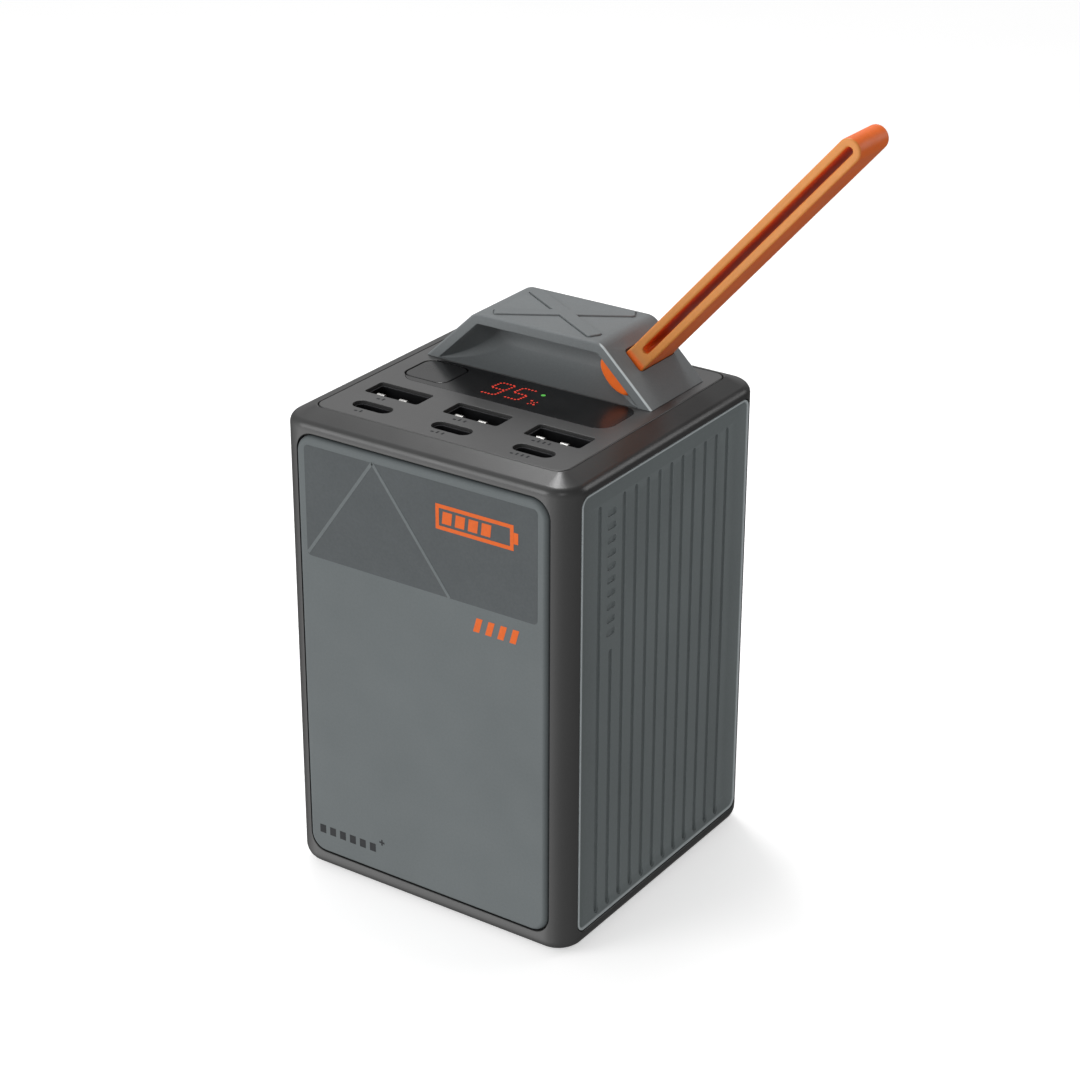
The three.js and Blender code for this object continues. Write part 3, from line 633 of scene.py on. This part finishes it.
# ---- Outer casing --------------------------------------------------------------------
def body_profile():
    """From the rounded bottom edge up the wall and over the sloping shoulder to the seam."""
    steps = 8
    profile = edges(BASE_Z, DECK_Z, BOTTOM_ROUND, 0, steps)[:steps + 1]
    tilt = SHOULDER_TILT
    first, last = SHOULDER_ROUNDS
    seam_inset = (WIDTH - (DECK_HIGH.x - DECK_LOW.x)) / 2 + 0.2
    turn = QUARTER - tilt
    flat = seam_inset - first * (1 - math.cos(turn)) - last * math.sin(tilt)
    rise = first * math.sin(turn) + flat * math.tan(tilt) + last * (1 - math.cos(tilt))
    start = DECK_Z - rise
    for t in arc_steps(steps):
        a = t * turn
        profile.append((first * (1 - math.cos(a)), start + first * math.sin(a)))
    for t in arc_steps(4):
        a = (1 - t) * tilt
        inset = seam_inset - last * math.sin(a)
        profile.append((inset, DECK_Z - last * (1 - math.cos(a))))
    return profile


def body_shell():
    shell = plate("body_shell", WIDTH, DEPTH, CORNER, body_profile(), steps=12)
    deck = DECK_HIGH - DECK_LOW
    tools = [plate("t", deck.x + 2 * SEAM, deck.y + 2 * SEAM, DECK_RADIUS + SEAM,
                   mouth(LEDGE, DECK_Z, 0.25))]
    for width, depth, radius, low, high in CASING_CUTS:
        tools.append(plate("t", width, depth, radius, [(0, low), (0, high)]))
    side, radius, top = COVER_RECESS
    profile = [(-COVER_CHAMFER, -2), (-COVER_CHAMFER, BASE_Z), (0, BASE_Z + COVER_CHAMFER),
               (0, top)]
    tools.append(plate("t", side, side, radius, profile))
    size = PANEL_HIGH - PANEL_LOW
    for turn in (FRONT, REAR):
        tools.append(plate(
            "t", size.x + 2 * PANEL_GAP, size.z + 2 * PANEL_GAP, PANEL_RADIUS + PANEL_GAP,
            mouth(DEPTH / 2 - PANEL_POCKET, DEPTH / 2, 0.3),
            standing(turn, middle("front_panel").z), steps=10,
        ))
    size = RIBBED_HIGH - RIBBED_LOW
    for turn in (LEFT, RIGHT):
        tools.append(plate(
            "t", size.y + 2 * RIBBED_GAP, size.z + 2 * RIBBED_GAP, RIBBED_RADIUS + RIBBED_GAP,
            mouth(WIDTH / 2 - RIBBED_POCKET, WIDTH / 2, 0.28),
            standing(turn, middle("right_side_panel").z),
        ))
    carve(shell, tools)
    finish(shell, "frame_plastic", stands_for=["body_frame"])


def smooth_panel(name, turn, node):
    size = PANEL_HIGH - PANEL_LOW
    profile = edges(-PANEL_HIGH.y, -PANEL_LOW.y, 0.2, PANEL_ROUND, steps=6)
    place = standing(turn, middle("front_panel").z)
    panel = plate(name, size.x, size.z, PANEL_RADIUS, profile, place, steps=12)
    finish(panel, "panel_plastic", stands_for=[node], sharp=60)


def basin_profile(flat):
    """A cove that falls steeply from the panel's lip and runs out level."""
    run = BASIN_EDGE - BASIN_LIP
    cove = [(run * s + BASIN_LIP, flat + BASIN_DEPTH * c) for s, c in quarter(7)]
    return [*cove, (BASIN_LIP, flat + BASIN_DEPTH + 2 * PAST)]


def groove_profile(flat, depth, bottom_round):
    """A rounded floor, and a flared lip where the groove meets the basin."""
    floor = flat - depth
    bottom = [(bottom_round * s, floor + bottom_round * c) for s, c in quarter(3)]
    return bottom + mouth(floor, flat, GROOVE_FLARE, 3)[1:]


def ribbed_panel(name, turn, node, has_gauge):
    centre = middle("right_side_panel").z
    place = standing(turn, centre)
    size = RIBBED_HIGH - RIBBED_LOW
    flat = RIBBED_HIGH.x - BASIN_DEPTH
    profile = edges(RIBBED_LOW.x, RIBBED_HIGH.x, 0.1, 0.15, 2)
    panel = plate(name, size.y, size.z, RIBBED_RADIUS, profile, place)
    tools = [plate("t", size.y, size.z, RIBBED_RADIUS, basin_profile(flat), place, steps=6)]
    first = -(GROOVE_COUNT - 1) / 2 * GROOVE_PITCH
    low = GROOVE_SPAN[0]
    for i in range(GROOVE_COUNT):
        gauge_column = has_gauge and i == 1
        top = SHORT_GROOVE_TOP if gauge_column else GROOVE_SPAN[1]
        at = first + i * GROOVE_PITCH
        spot = place @ Matrix.Translation((at, (top + low) / 2 - centre, 0))
        tools.append(plate("t", GROOVE_WIDTH, top - low, GROOVE_WIDTH / 2,
                           groove_profile(flat, GROOVE_DEPTH, GROOVE_ROUND), spot, steps=4))
        if gauge_column:
            tools += gauge_marks(place, at, centre, flat)
    carve(panel, tools)
    finish(panel, "panel_plastic", MAT["ribbed_plastic"], stands_for=[node])


def gauge_marks(place, at, centre, flat):
    """A plain ladder of short bars above the short groove."""
    step = (GAUGE_SPAN[1] - GAUGE_SPAN[0]) / GAUGE_MARKS
    width, gap, radius = GAUGE_SIZE
    marks = []
    for i in range(GAUGE_MARKS):
        height = GAUGE_SPAN[0] + (i + 0.5) * step - centre
        spot = place @ Matrix.Translation((at, height, 0))
        marks.append(plate("t", width, step - gap, radius,
                           groove_profile(flat, GAUGE_DEPTH, GAUGE_ROUND), spot, steps=3))
    return marks


def floor_pieces():
    low, high = span("bottom_cover")
    cover = plate("bottom_cover_skin", high.x - low.x, high.y - low.y, COVER_RADIUS,
                  edges(low.z, high.z, 0.3, 0.1))
    inset, level = SCREW_STEP
    profile = [(0, 0), (0, level), (inset, level), (inset, 4)]
    holes = []
    for i in range(1, 5):
        holes.append(drill(f"bottom_screw_{i}", SCREW_HOLE, profile))
    carve(cover, holes)
    finish(cover, "frame_plastic", stands_for=["bottom_cover"])
    low, high = span("base_pad")
    pad = plate("base_pad_skin", high.x - low.x, high.y - low.y, PAD_RADIUS,
                edges(low.z, high.z, 0.25, 0.05))
    finish(pad, "pad_rubber", stands_for=["base_pad"])


# ---- Deck ----------------------------------------------------------------------------
def opening(node, margin, radius, flare=0.1, floor=None):
    """A tool for a hole that a node shows through; it goes right through unless it has a floor."""
    low, high = span(node)
    floor = DECK_LOW.z - PAST if floor is None else floor
    return plate("t", high.x - low.x + 2 * margin, high.y - low.y + 2 * margin, radius,
                 mouth(floor, DECK_Z, flare), over(node))


def button_hole(low_z, flare):
    width = BUTTON_HIGH.x - BUTTON_LOW.x - BUTTON_FLANGE + BUTTON_SLACK
    depth = BUTTON_HIGH.y - BUTTON_LOW.y - BUTTON_FLANGE + BUTTON_SLACK
    return plate("t", width, depth, BUTTON_RADIUS + 0.1, mouth(low_z, DECK_Z, flare),
                 over("power_button"))


def deck_plate():
    size = DECK_HIGH - DECK_LOW
    deck = plate("deck_plate", size.x, size.y, DECK_RADIUS,
                 edges(DECK_LOW.z, DECK_Z, 0.1, 0.28), steps=10)
    below = DECK_LOW.z - PAST
    tools = [
        opening("display_window", WINDOW_GAP, WINDOW_RADIUS + 0.05, 0.06,
                floor=DECK_Z - WINDOW_POCKET),
        button_hole(below, 0.1),
        plate("t", *DISPLAY_BAY, [(0, below), (0, DECK_Z - 1)],
              Matrix.Translation(DISPLAY_AT)),
    ]
    through = [(0, below), (0, DECK_Z + PAST)]
    for i in (1, 2):
        tools.append(drill(f"bridge_screw_{i}", BRIDGE_SCREW_HOLE, through, 4))
    for i in (1, 2, 3):
        tools.append(opening(f"usb_a_shell_{i}", SOCKET_GAP, LARGE_SOCKET[2]))
        tools.append(opening(f"usb_c_shell_{i}", SOCKET_GAP, SMALL_SOCKET[2]))
    carve(deck, tools)
    finish(deck, "deck_plastic", stands_for=["top_deck"])


def window_and_button():
    low, high = WINDOW_LOW, WINDOW_HIGH
    window = plate("window_pane", high.x - low.x, high.y - low.y, WINDOW_RADIUS,
                   edges(low.z, DECK_Z - WINDOW_SINK, 0.03, 0.04, 2),
                   over("display_window"), steps=10)
    carve(window, [button_hole(low.z - PAST, 0.05)])
    finish(window, "smoked_window", stands_for=["display_window"])
    size = BUTTON_HIGH - BUTTON_LOW
    low = BUTTON_LOW.z
    cap = plate("button_cap", size.x - BUTTON_FLANGE, size.y - BUTTON_FLANGE, BUTTON_RADIUS,
                edges(low + FLANGE_THICKNESS / 2, DECK_Z - BUTTON_SINK, 0.1, 0.35, 5),
                over("power_button"))
    flange = plate("t", size.x, size.y, BUTTON_RADIUS,
                   [(0, low), (0, low + FLANGE_THICKNESS)], over("power_button"))
    carve(cap, [flange], "UNION")
    finish(cap, "smoked_window", body="button", stands_for=["power_button"])


def sleeve(name, node, radius, wall):
    low, high = span(node)
    piece = plate(name, high.x - low.x, high.y - low.y, radius,
                  edges(low.z, high.z, 0.1, 0.15, 3), over(node))
    inner = plate("t", high.x - low.x - 2 * wall, high.y - low.y - 2 * wall, radius - wall,
                  mouth(low.z + SOCKET_FLOOR, high.z, 0.14), over(node))
    carve(piece, [inner])
    finish(piece, "port_steel", stands_for=[node])


def contact_springs(name, node):
    """The two curled fingers on the front wall of a large socket's sleeve."""
    low, high = span(node)
    line = [Vector(point) for point in SPRING_LINE]
    width, thickness, radius = SPRING_SECTION
    parts = []
    for sign in (-1, 1):
        x = middle(node).x + sign * SPRING_SPREAD
        rings = []
        for i, point in enumerate(line):
            along = (line[min(i + 1, len(line) - 1)] - line[max(i - 1, 0)]).normalized()
            side = Vector((-along.y, along.x))
            ring = []
            for u, v in rounded_rect(width, thickness, radius, 2):
                y, z = point + side * v
                ring.append((x + u, low.y + y, high.z + z))
            rings.append(ring)
        parts.append(loft(name, rings))
    carve(parts[0], parts[1:], "UNION")
    finish(parts[0], "port_steel", INK["contact"])


def sockets():
    for i in (1, 2, 3):
        sleeve(f"socket_a_sleeve_{i}", f"usb_a_shell_{i}", *LARGE_SOCKET[:2])
        contact_springs(f"socket_a_springs_{i}", f"usb_a_shell_{i}")
        sleeve(f"socket_c_sleeve_{i}", f"usb_c_shell_{i}", *SMALL_SOCKET[:2])


# ---- Grip bridge ---------------------------------------------------------------------
def slope_x(z, inset):
    """Where the bridge's side stands at a height, moved in by inset."""
    return BRIDGE_HIGH.x - inset / math.sin(SLOPE) - (z - DECK_Z) / math.tan(SLOPE)


def bridge_block():
    low, sharp = BRIDGE_LOW.z, 0.05
    rings = []
    for inset, y in edges(BRIDGE_LOW.y, BRIDGE_HIGH.y, *BRIDGE_RIMS, steps=5):
        top = BRIDGE_TOP - inset
        foot, crest = slope_x(low, inset), slope_x(top, inset)
        corners = [(foot, low), (crest, top), (-crest, top), (-foot, low)]
        outline = rounded_polygon(corners, (sharp, BRIDGE_ROUND, BRIDGE_ROUND, sharp), 8)
        rings.append([(x, y, z) for x, z in outline])
    return loft("bridge_grip", rings)


def pocket_ring(y, depth, grow=0.0, shrink=0.0):
    """The finger pocket's outline at a depth: its floor rises and its ends close in."""
    part = min(1, depth / POCKET_DEPTH)
    floor = POCKET_SILL + POCKET_RAMP * (1 - math.sqrt(1 - part * part)) + shrink
    ceiling = POCKET_CEILING + grow - shrink
    widest = slope_x(POCKET_SILL, BRIDGE_WALL - grow)
    closing = min(1, depth / POCKET_FLARE)
    foot = widest - (widest - POCKET_BACK) * closing - shrink
    crest = slope_x(ceiling, BRIDGE_WALL - grow) - shrink
    soft = 0.06 + 2.4 * closing
    corners = [(foot, floor), (crest, ceiling), (-crest, ceiling), (-foot, floor)]
    outline = rounded_polygon(corners, (soft, 1.0, 1.0, soft), 6)
    return [(x, y, z) for x, z in outline]


def pocket_tool():
    front, lip, back_round = BRIDGE_LOW.y, POCKET_LIP, POCKET_BACK_ROUND
    rings = [pocket_ring(front - 3 * PAST, 0, lip)]
    for t in arc_steps(5):
        a = t * QUARTER
        y = front + lip * (1 - math.cos(a))
        rings.append(pocket_ring(y, 0.01 * t, lip * (1 - math.sin(a))))
    deepest = POCKET_DEPTH - back_round
    steps = 22
    for i in range(1, steps + 1):
        depth = lip + (deepest - lip) * math.sin(i / steps * QUARTER)
        rings.append(pocket_ring(front + depth, depth))
    for t in arc_steps(4)[1:]:
        a = t * QUARTER
        depth = deepest + back_round * math.sin(a)
        rings.append(pocket_ring(front + depth, depth, 0, back_round * (1 - math.cos(a))))
    return loft("t", rings)


def crest_ribs(low, high, rim, grow=0.0):
    """The crossed ribs on the crest, or the shallow moat round them when grown."""
    centre = (BRIDGE_LOW.y + BRIDGE_HIGH.y) / 2
    run = BRIDGE_HIGH.y - BRIDGE_LOW.y - RIB_MARGIN
    lean = math.atan2(run, 2 * BRIDGE_CREST - RIB_MARGIN)
    length, width, radius = RIB_SIZE
    ribs = []
    for sign in (-1, 1):
        at = Matrix.Translation((0, centre, 0)) @ Matrix.Rotation(sign * lean, 4, "Z")
        ribs.append(plate("t", length + 2 * grow, width + 2 * grow, radius + grow,
                          edges(low, high, 0, rim), at, 4))
    return ribs


def on_slope():
    """A frame on the bridge's right slope at the strap: Z square to it, X down it."""
    root = PIVOT - Vector(SLOPE_OUT) * PIVOT_LIFT
    return Matrix.Translation(root) @ Matrix.Rotation(SLOPE, 4, "Y")


def strap_head(room):
    """The strap's inner end, a bar with a domed underside, grown by `room` on every side."""
    place = on_slope() @ Matrix.Translation((HEAD_SHIFT, 0, 0))
    face = -BRIDGE_WALL - HEAD_DROP
    front, rear = HEAD_SPAN[0] - room - PIVOT.y, HEAD_SPAN[1] + room - PIVOT.y
    rings = []
    for inset, y in edges(front, rear, *HEAD_RIMS, 5):
        half, dome = HEAD_HALF + room - inset, HEAD_DOME + room - inset
        top = face + room - inset * 0.3
        ring = [(half, top), (-half, top)]
        for t in arc_steps(20):
            a = math.pi * (1 + t)
            ring.append((half * math.cos(a), face - HEAD_EDGE + dome * math.sin(a)))
        rings.append([place @ Vector((x, y, z)) for x, z in ring])
    return loft("t", rings)


def bridge_grip():
    bridge = bridge_block()
    carve(bridge, crest_ribs(BRIDGE_TOP - MOAT_DEPTH, BRIDGE_TOP + PAST, 0, MOAT_WIDTH))
    carve(bridge, crest_ribs(BRIDGE_TOP - PAST, BRIDGE_HIGH.z, RIB_RIM), "UNION")
    tools = [
        pocket_tool(),
        plate("t", *STRAP_RECESS, mouth(-1.0, 0.0, 0.2), on_slope(), steps=6),
        plate("t", *STRAP_HOLE, [(0, -4), (0, 3)], on_slope(), steps=4),
        strap_head(HEAD_CLEARANCE),
    ]
    carve(bridge, tools)
    finish(bridge, "bridge_plastic", stands_for=["grip_bridge"])


# ---- Carrying strap ------------------------------------------------------------------
def strap_frame():
    """Origin at the bending line, Z along the strap."""
    return Matrix.Translation(PIVOT) @ Matrix.Rotation(QUARTER - STRAP_LEAN, 4, "Y")


def loop_path():
    """Middle of the band's thickness, in the strap frame's X and Z, with outward directions."""
    reach = STRAP_REACH - PIVOT_LIFT - STRAP_ROUND
    radius = STRAP_ROUND - STRAP_ARM / 2
    path = []
    for side, start, end in ((1, 0, reach), (-1, reach, 0)):
        for t in arc_steps(60)[:-1]:
            path.append((side * radius, start + t * (end - start), side, 0))
        for t in arc_steps(14)[:-1]:
            x, z = side * math.cos(t * math.pi), side * math.sin(t * math.pi)
            path.append((radius * x, end + radius * z, x, z))
    return path


def strap_foot(place):
    """The squared-off root of the band, a little wider where it enters the bridge."""
    rings = []
    for level, width in ROOT_STEPS:
        outline = rounded_rect(2 * STRAP_ROUND - 2 * ROOT_SLIM, width, BAND_RIM, 4)
        rings.append(raised(outline, place, level))
    inner = STRAP_ROUND - STRAP_ARM - ROOT_SLIM
    across = Matrix(((1, 0, 0, 0), (0, 0, 1, 0), (0, 1, 0, 0), (0, 0, 0, 1)))
    height = 6
    slot = plate("t", 2 * inner, height, inner, ROOT_FLARE,
                 place @ across @ Matrix.Translation((0, height / 2 - inner, 0)))
    return carve(loft("t", rings), [slot])


def strap_band():
    place = strap_frame()
    section = rounded_rect(STRAP_ARM, STRAP_WIDTH, BAND_RIM, 4)
    rings = []
    for x, z, out_x, out_z in loop_path():
        ring = []
        for across, along_y in section:
            ring.append(place @ Vector((x + across * out_x, along_y, z + across * out_z)))
        rings.append(ring)
    band = loft("strap_band", rings, closed=True)
    foot = strap_foot(place)
    neck = plate("t", *STRAP_NECK, [(0, -3.6), (0, 0.6)], on_slope(), steps=4)
    for part in (foot, neck, strap_head(0)):
        carve(band, [part], "UNION")
    finish(band, "strap_elastomer", body=None, stands_for=["strap_anchor", "strap_loop"],
           sharp=60)
    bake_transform(band)


# ---- Printed marks -------------------------------------------------------------------
INK_THICKNESS = 0.03


def ink(name, outlines, place, material, slot, thick=INK_THICKNESS):
    """Flat marks with a slight thickness; every outline is a list of (x, y) corners."""
    points, faces = [], []
    for outline in outlines:
        start, count = len(points), len(outline)
        for level in (0, thick):
            points += raised(outline, place, level)
        faces.append(tuple(reversed(range(start, start + count))))
        faces.append(tuple(range(start + count, start + 2 * count)))
        for i in range(count):
            j = (i + 1) % count
            faces.append((start + i, start + j, start + count + j, start + count + i))
    finish(new_object(name, points, faces), slot, material, sharp=20)


def bar(x0, y0, x1, y1):
    return [(x0, y0), (x1, y0), (x1, y1), (x0, y1)]


def slanted(x, y, width, height, lean):
    return [(x, y), (x + width, y), (x + width + lean, y + height), (x + lean, y + height)]


def stroke(a, b, width):
    """A straight line of ink from a to b."""
    a, b = Vector(a), Vector(b)
    side = (b - a).orthogonal().normalized() * width / 2
    return [tuple(a - side), tuple(b - side), tuple(b + side), tuple(a + side)]


def disc(x, y, radius, steps=10):
    return [
        (x + radius * math.cos(i * math.tau / steps), y + radius * math.sin(i * math.tau / steps))
        for i in range(steps)
    ]


def front_print():
    face = standing(FRONT, 0) @ Matrix.Translation((0, 0, -PANEL_LOW.y))
    above = face @ Matrix.Translation((0, 0, INK_THICKNESS + 0.005))
    band_low, band_high, half = 78.0, 103.2, 29.2
    band = [(x, y + (band_low + band_high) / 2)
            for x, y in rounded_rect(2 * half, band_high - band_low, 1.0, 5)]
    ink("front_band", [band], face, INK["band"], "panel_plastic")
    apex = (-11.5, band_high)
    lines = [stroke((-29.0, band_low + 0.6), apex, 0.7), stroke(apex, (7.6, band_low), 0.7)]
    ink("front_band_lines", lines, above, INK["pale"], "panel_plastic")
    ink("front_charge_mark", charge_mark(4.4, 92.9, 20.2, 5.6), above, INK["orange"],
        "panel_plastic")
    left, pitch = 13.4, 3.0
    chevrons = [slanted(left + pitch * i, 72.2, 1.5, 3.2, 0.9) for i in range(4)]
    ink("front_small_mark", chevrons, face, INK["orange"], "panel_plastic")
    left, pitch, low = -28.6, 2.75, 10.4
    dashes = [bar(left + pitch * i, low, left + pitch * i + 1.6, low + 2) for i in range(6)]
    x, y, arm, half, gap = -11.5, 13.35, 0.7, 0.2, 0.03
    plus = [bar(x - arm, y - half, x + arm, y + half),
            bar(x - half, y - arm, x + half, y - half - gap),
            bar(x - half, y + half + gap, x + half, y + arm)]
    ink("front_corner_marks", dashes + plus, face, INK["dark"], "panel_plastic")


def charge_mark(x, y, width, height):
    """A battery outline with level bars."""
    line, cap, gap = 0.85, 1.1, 0.7
    right = x + width - cap
    shapes = [
        bar(x, y, right, y + line), bar(x, y + height - line, right, y + height),
        bar(x, y + line, x + line, y + height - line),
        bar(right - line, y + line, right, y + height - line),
        bar(right + 0.02, y + height * 0.28, right + cap, y + height * 0.72),
    ]
    inner = right - x - 2 * line - 2 * gap
    step = inner / 5
    for i in range(4):
        left = x + line + gap + i * step
        shapes.append(slanted(left, y + line + 0.6, step - 0.9, height - 2 * line - 1.2, 0.3))
    return shapes


def deck_print():
    """Beside each socket a short dash, and as many ticks as its number."""
    face = Matrix.Translation((0, 0, DECK_Z))
    marks = []
    pitch, foot = 1.3, 0.45
    for i in (1, 2, 3):
        for node, drop in ((f"usb_a_shell_{i}", 1.9), (f"usb_c_shell_{i}", 1.7)):
            y = span(node)[0].y - drop
            first = middle(node).x - pitch / 2 * (i - 1) - 0.8
            for k in range(i):
                left = first + pitch * k
                marks.append(bar(left, y - foot, left + 0.45, y + 0.55))
            marks.append(bar(first - pitch, y - foot, first - 0.6, y + 0.05))
    ink("deck_marks", marks, face, INK["dark"], "deck_plastic", 0.02)


NUMERAL_LEAN = 0.16
NUMERAL_DOT = 0.27


def numeral(strokes, left, low, width, height):
    """Dots along the strokes of a seven-stroke numeral that leans to the right."""
    half = height / 2
    ends = {
        "a": ((0, height), (width, height)), "b": ((width, height), (width, half)),
        "c": ((width, half), (width, 0)), "d": ((width, 0), (0, 0)),
        "f": ((0, height), (0, half)), "g": ((0, half), (width, half)),
    }
    dots = []
    for stroke_name in strokes:
        start, end = (Vector(p) for p in ends[stroke_name])
        for t in (0.14, 0.38, 0.62, 0.86):
            x, y = start.lerp(end, t)
            dots.append(disc(left + x + NUMERAL_LEAN * y, low + y, NUMERAL_DOT))
    return dots


def display_marks():
    """Dotted numerals of a charge reading, a percent sign and a status dot."""
    face = Matrix.Translation((0, 0, DECK_Z))
    dots = numeral("abcdfg", -6.9, -5.9, 3.5, 6.6) + numeral("acdfg", -1.3, -5.5, 3.5, 6.2)
    dots += [disc(5.0, -4.1, 0.3), disc(6.5, -5.7, 0.3)]
    dots += [disc(5.2 + 0.42 * i, -5.9 + 0.55 * i, 0.2) for i in range(4)]
    ink("display_digits", dots, face, INK["red_light"], "digit_display", 0.015)
    ink("display_status_dot", [disc(5.3, -0.3, 0.5, 16)], face, INK["green_light"],
        "status_lens", 0.015)


# ---- Carried-over parts --------------------------------------------------------------
def dress_cad_nodes():
    slots = {row["node"]: row["material_slot"] for row in frame["record"]["subparts"]}
    for name, node in frame["nodes"].items():
        node.data.materials.clear()
        node.data.materials.append(MAT[slots[name]])


# ---- Stage ---------------------------------------------------------------------------
# Broad lights of the studio: direction from the object, how tight the light is, strength.
STUDIO = [
    ((-0.45, -0.86, -0.12), 2, 1.15),
    ((-0.50, -0.75, -0.43), 6, 1.70),
    ((-0.50, 0.75, 0.43), 8, 0.60),
    ((-0.45, 0.10, 0.90), 5, 0.82),
    ((0.85, -0.40, -0.35), 2, 0.52),
]
STUDIO_FILL = 0.12
OBJECT_MIDDLE = (0, 0, 80)
# Where each softbox stands, what it faces, its width and height, and its power.
SOFTBOXES = {
    "shoulder_strip": ((-120, 110, 520), (34, -32, 109), (90, 240), 0.95),
    "key": ((-500, -800, 500), OBJECT_MIDDLE, (500, 500), 3),
    "camera_card": ((330, -420, 470), OBJECT_MIDDLE, (160, 160), 0.3),
    "rear_card": ((250, 250, 240), (36, 10, 80), (160, 160), 0.2),
}
FLOOR_SIZE = 6000
FLOOR_GLOW = 0.48
# The camera: where it stands, its direction from the object, and its lens.
CAMERA_AT = (296.03, -429.326, 319.697)
CAMERA_AZIMUTH, CAMERA_ELEVATION, CAMERA_ROLL = (
    math.radians(a) for a in (34.191, 25.175, 0.149))
CAMERA_LENS, CAMERA_SENSOR = 89.07, 36


def studio_world():
    """A dark studio with a few soft, wide lights."""
    world = bpy.data.worlds.new("studio")
    world.use_nodes = True
    tree = world.node_tree

    def combine(operation, a, b):
        step = tree.nodes.new("ShaderNodeMath")
        step.operation = operation
        tree.links.new(a, step.inputs[0])
        if isinstance(b, bpy.types.NodeSocket):
            tree.links.new(b, step.inputs[1])
        else:
            step.inputs[1].default_value = b
        return step.outputs[0]

    facing = tree.nodes.new("ShaderNodeTexCoord").outputs["Generated"]
    total = STUDIO_FILL
    for direction, power, strength in STUDIO:
        dot = tree.nodes.new("ShaderNodeVectorMath")
        dot.operation = "DOT_PRODUCT"
        tree.links.new(facing, dot.inputs[0])
        dot.inputs[1].default_value = Vector(direction).normalized()
        value = dot.outputs["Value"]
        for operation, amount in (("MAXIMUM", 0), ("POWER", power), ("MULTIPLY", strength)):
            value = combine(operation, value, amount)
        total = combine("ADD", value, total)
    background = tree.nodes["Background"]
    background.inputs["Color"].default_value = (1, 1, 1, 1)
    tree.links.new(total, background.inputs["Strength"])
    bpy.context.scene.world = world
    bpy.context.scene.view_settings.view_transform = "Standard"


def studio_floor():
    """A pale sheet that takes the object's shadow but doesn't glare back into its gloss."""
    stage = plate("stage_floor", FLOOR_SIZE, FLOOR_SIZE, 10, [(0, -20), (0, 0)])
    pale = Shader("stage_paper", (0.86, 0.86, 0.86), 0.7, shine=0.0)
    pale.shade(pale.noise(120, 2), 0.99, 1.01)
    pale.bsdf.inputs["Emission Color"].default_value = (1, 1, 1, 1)
    pale.bsdf.inputs["Emission Strength"].default_value = FLOOR_GLOW
    stage.data.materials.append(pale.done())
    stage.visible_glossy = False
    stage.visible_diffuse = False
    stage.visible_shadow = False


def softbox(name, spot, aim, size, power):
    light = bpy.data.lights.new(name, "AREA")
    light.shape = "RECTANGLE"
    light.size, light.size_y = size[0] * MM, size[1] * MM
    light.energy = power
    lamp = bpy.data.objects.new(name, light)
    lamp.location = Vector(spot) * MM
    lamp.rotation_euler = (Vector(aim) - Vector(spot)).to_track_quat("-Z", "Y").to_euler()
    bpy.context.scene.collection.objects.link(lamp)


def camera():
    level = math.cos(CAMERA_ELEVATION)
    back = Vector((
        math.sin(CAMERA_AZIMUTH) * level,
        -math.cos(CAMERA_AZIMUTH) * level,
        math.sin(CAMERA_ELEVATION),
    ))
    right = Vector((math.cos(CAMERA_AZIMUTH), math.sin(CAMERA_AZIMUTH), 0))
    up = back.cross(right)
    data = bpy.data.cameras.new("camera")
    data.sensor_width = CAMERA_SENSOR
    data.lens = CAMERA_LENS
    data.clip_start, data.clip_end = 0.01, 20
    view = bpy.data.objects.new("camera", data)
    axes = Matrix((right, up, back)).transposed().to_4x4() @ Matrix.Rotation(CAMERA_ROLL, 4, "Z")
    view.matrix_world = Matrix.Translation(Vector(CAMERA_AT) * MM) @ axes
    bpy.context.scene.collection.objects.link(view)
    bpy.context.scene.camera = view


camera()
dress_cad_nodes()
body_shell()
smooth_panel("front_skin", FRONT, "front_panel")
smooth_panel("rear_skin", REAR, "rear_panel")
ribbed_panel("right_ribbed_skin", RIGHT, "right_side_panel", True)
ribbed_panel("left_ribbed_skin", LEFT, "left_side_panel", False)
floor_pieces()
deck_plate()
window_and_button()
sockets()
bridge_grip()
strap_band()
front_print()
deck_print()
display_marks()
studio_world()
studio_floor()
for box, settings in SOFTBOXES.items():
    softbox(box, *settings)
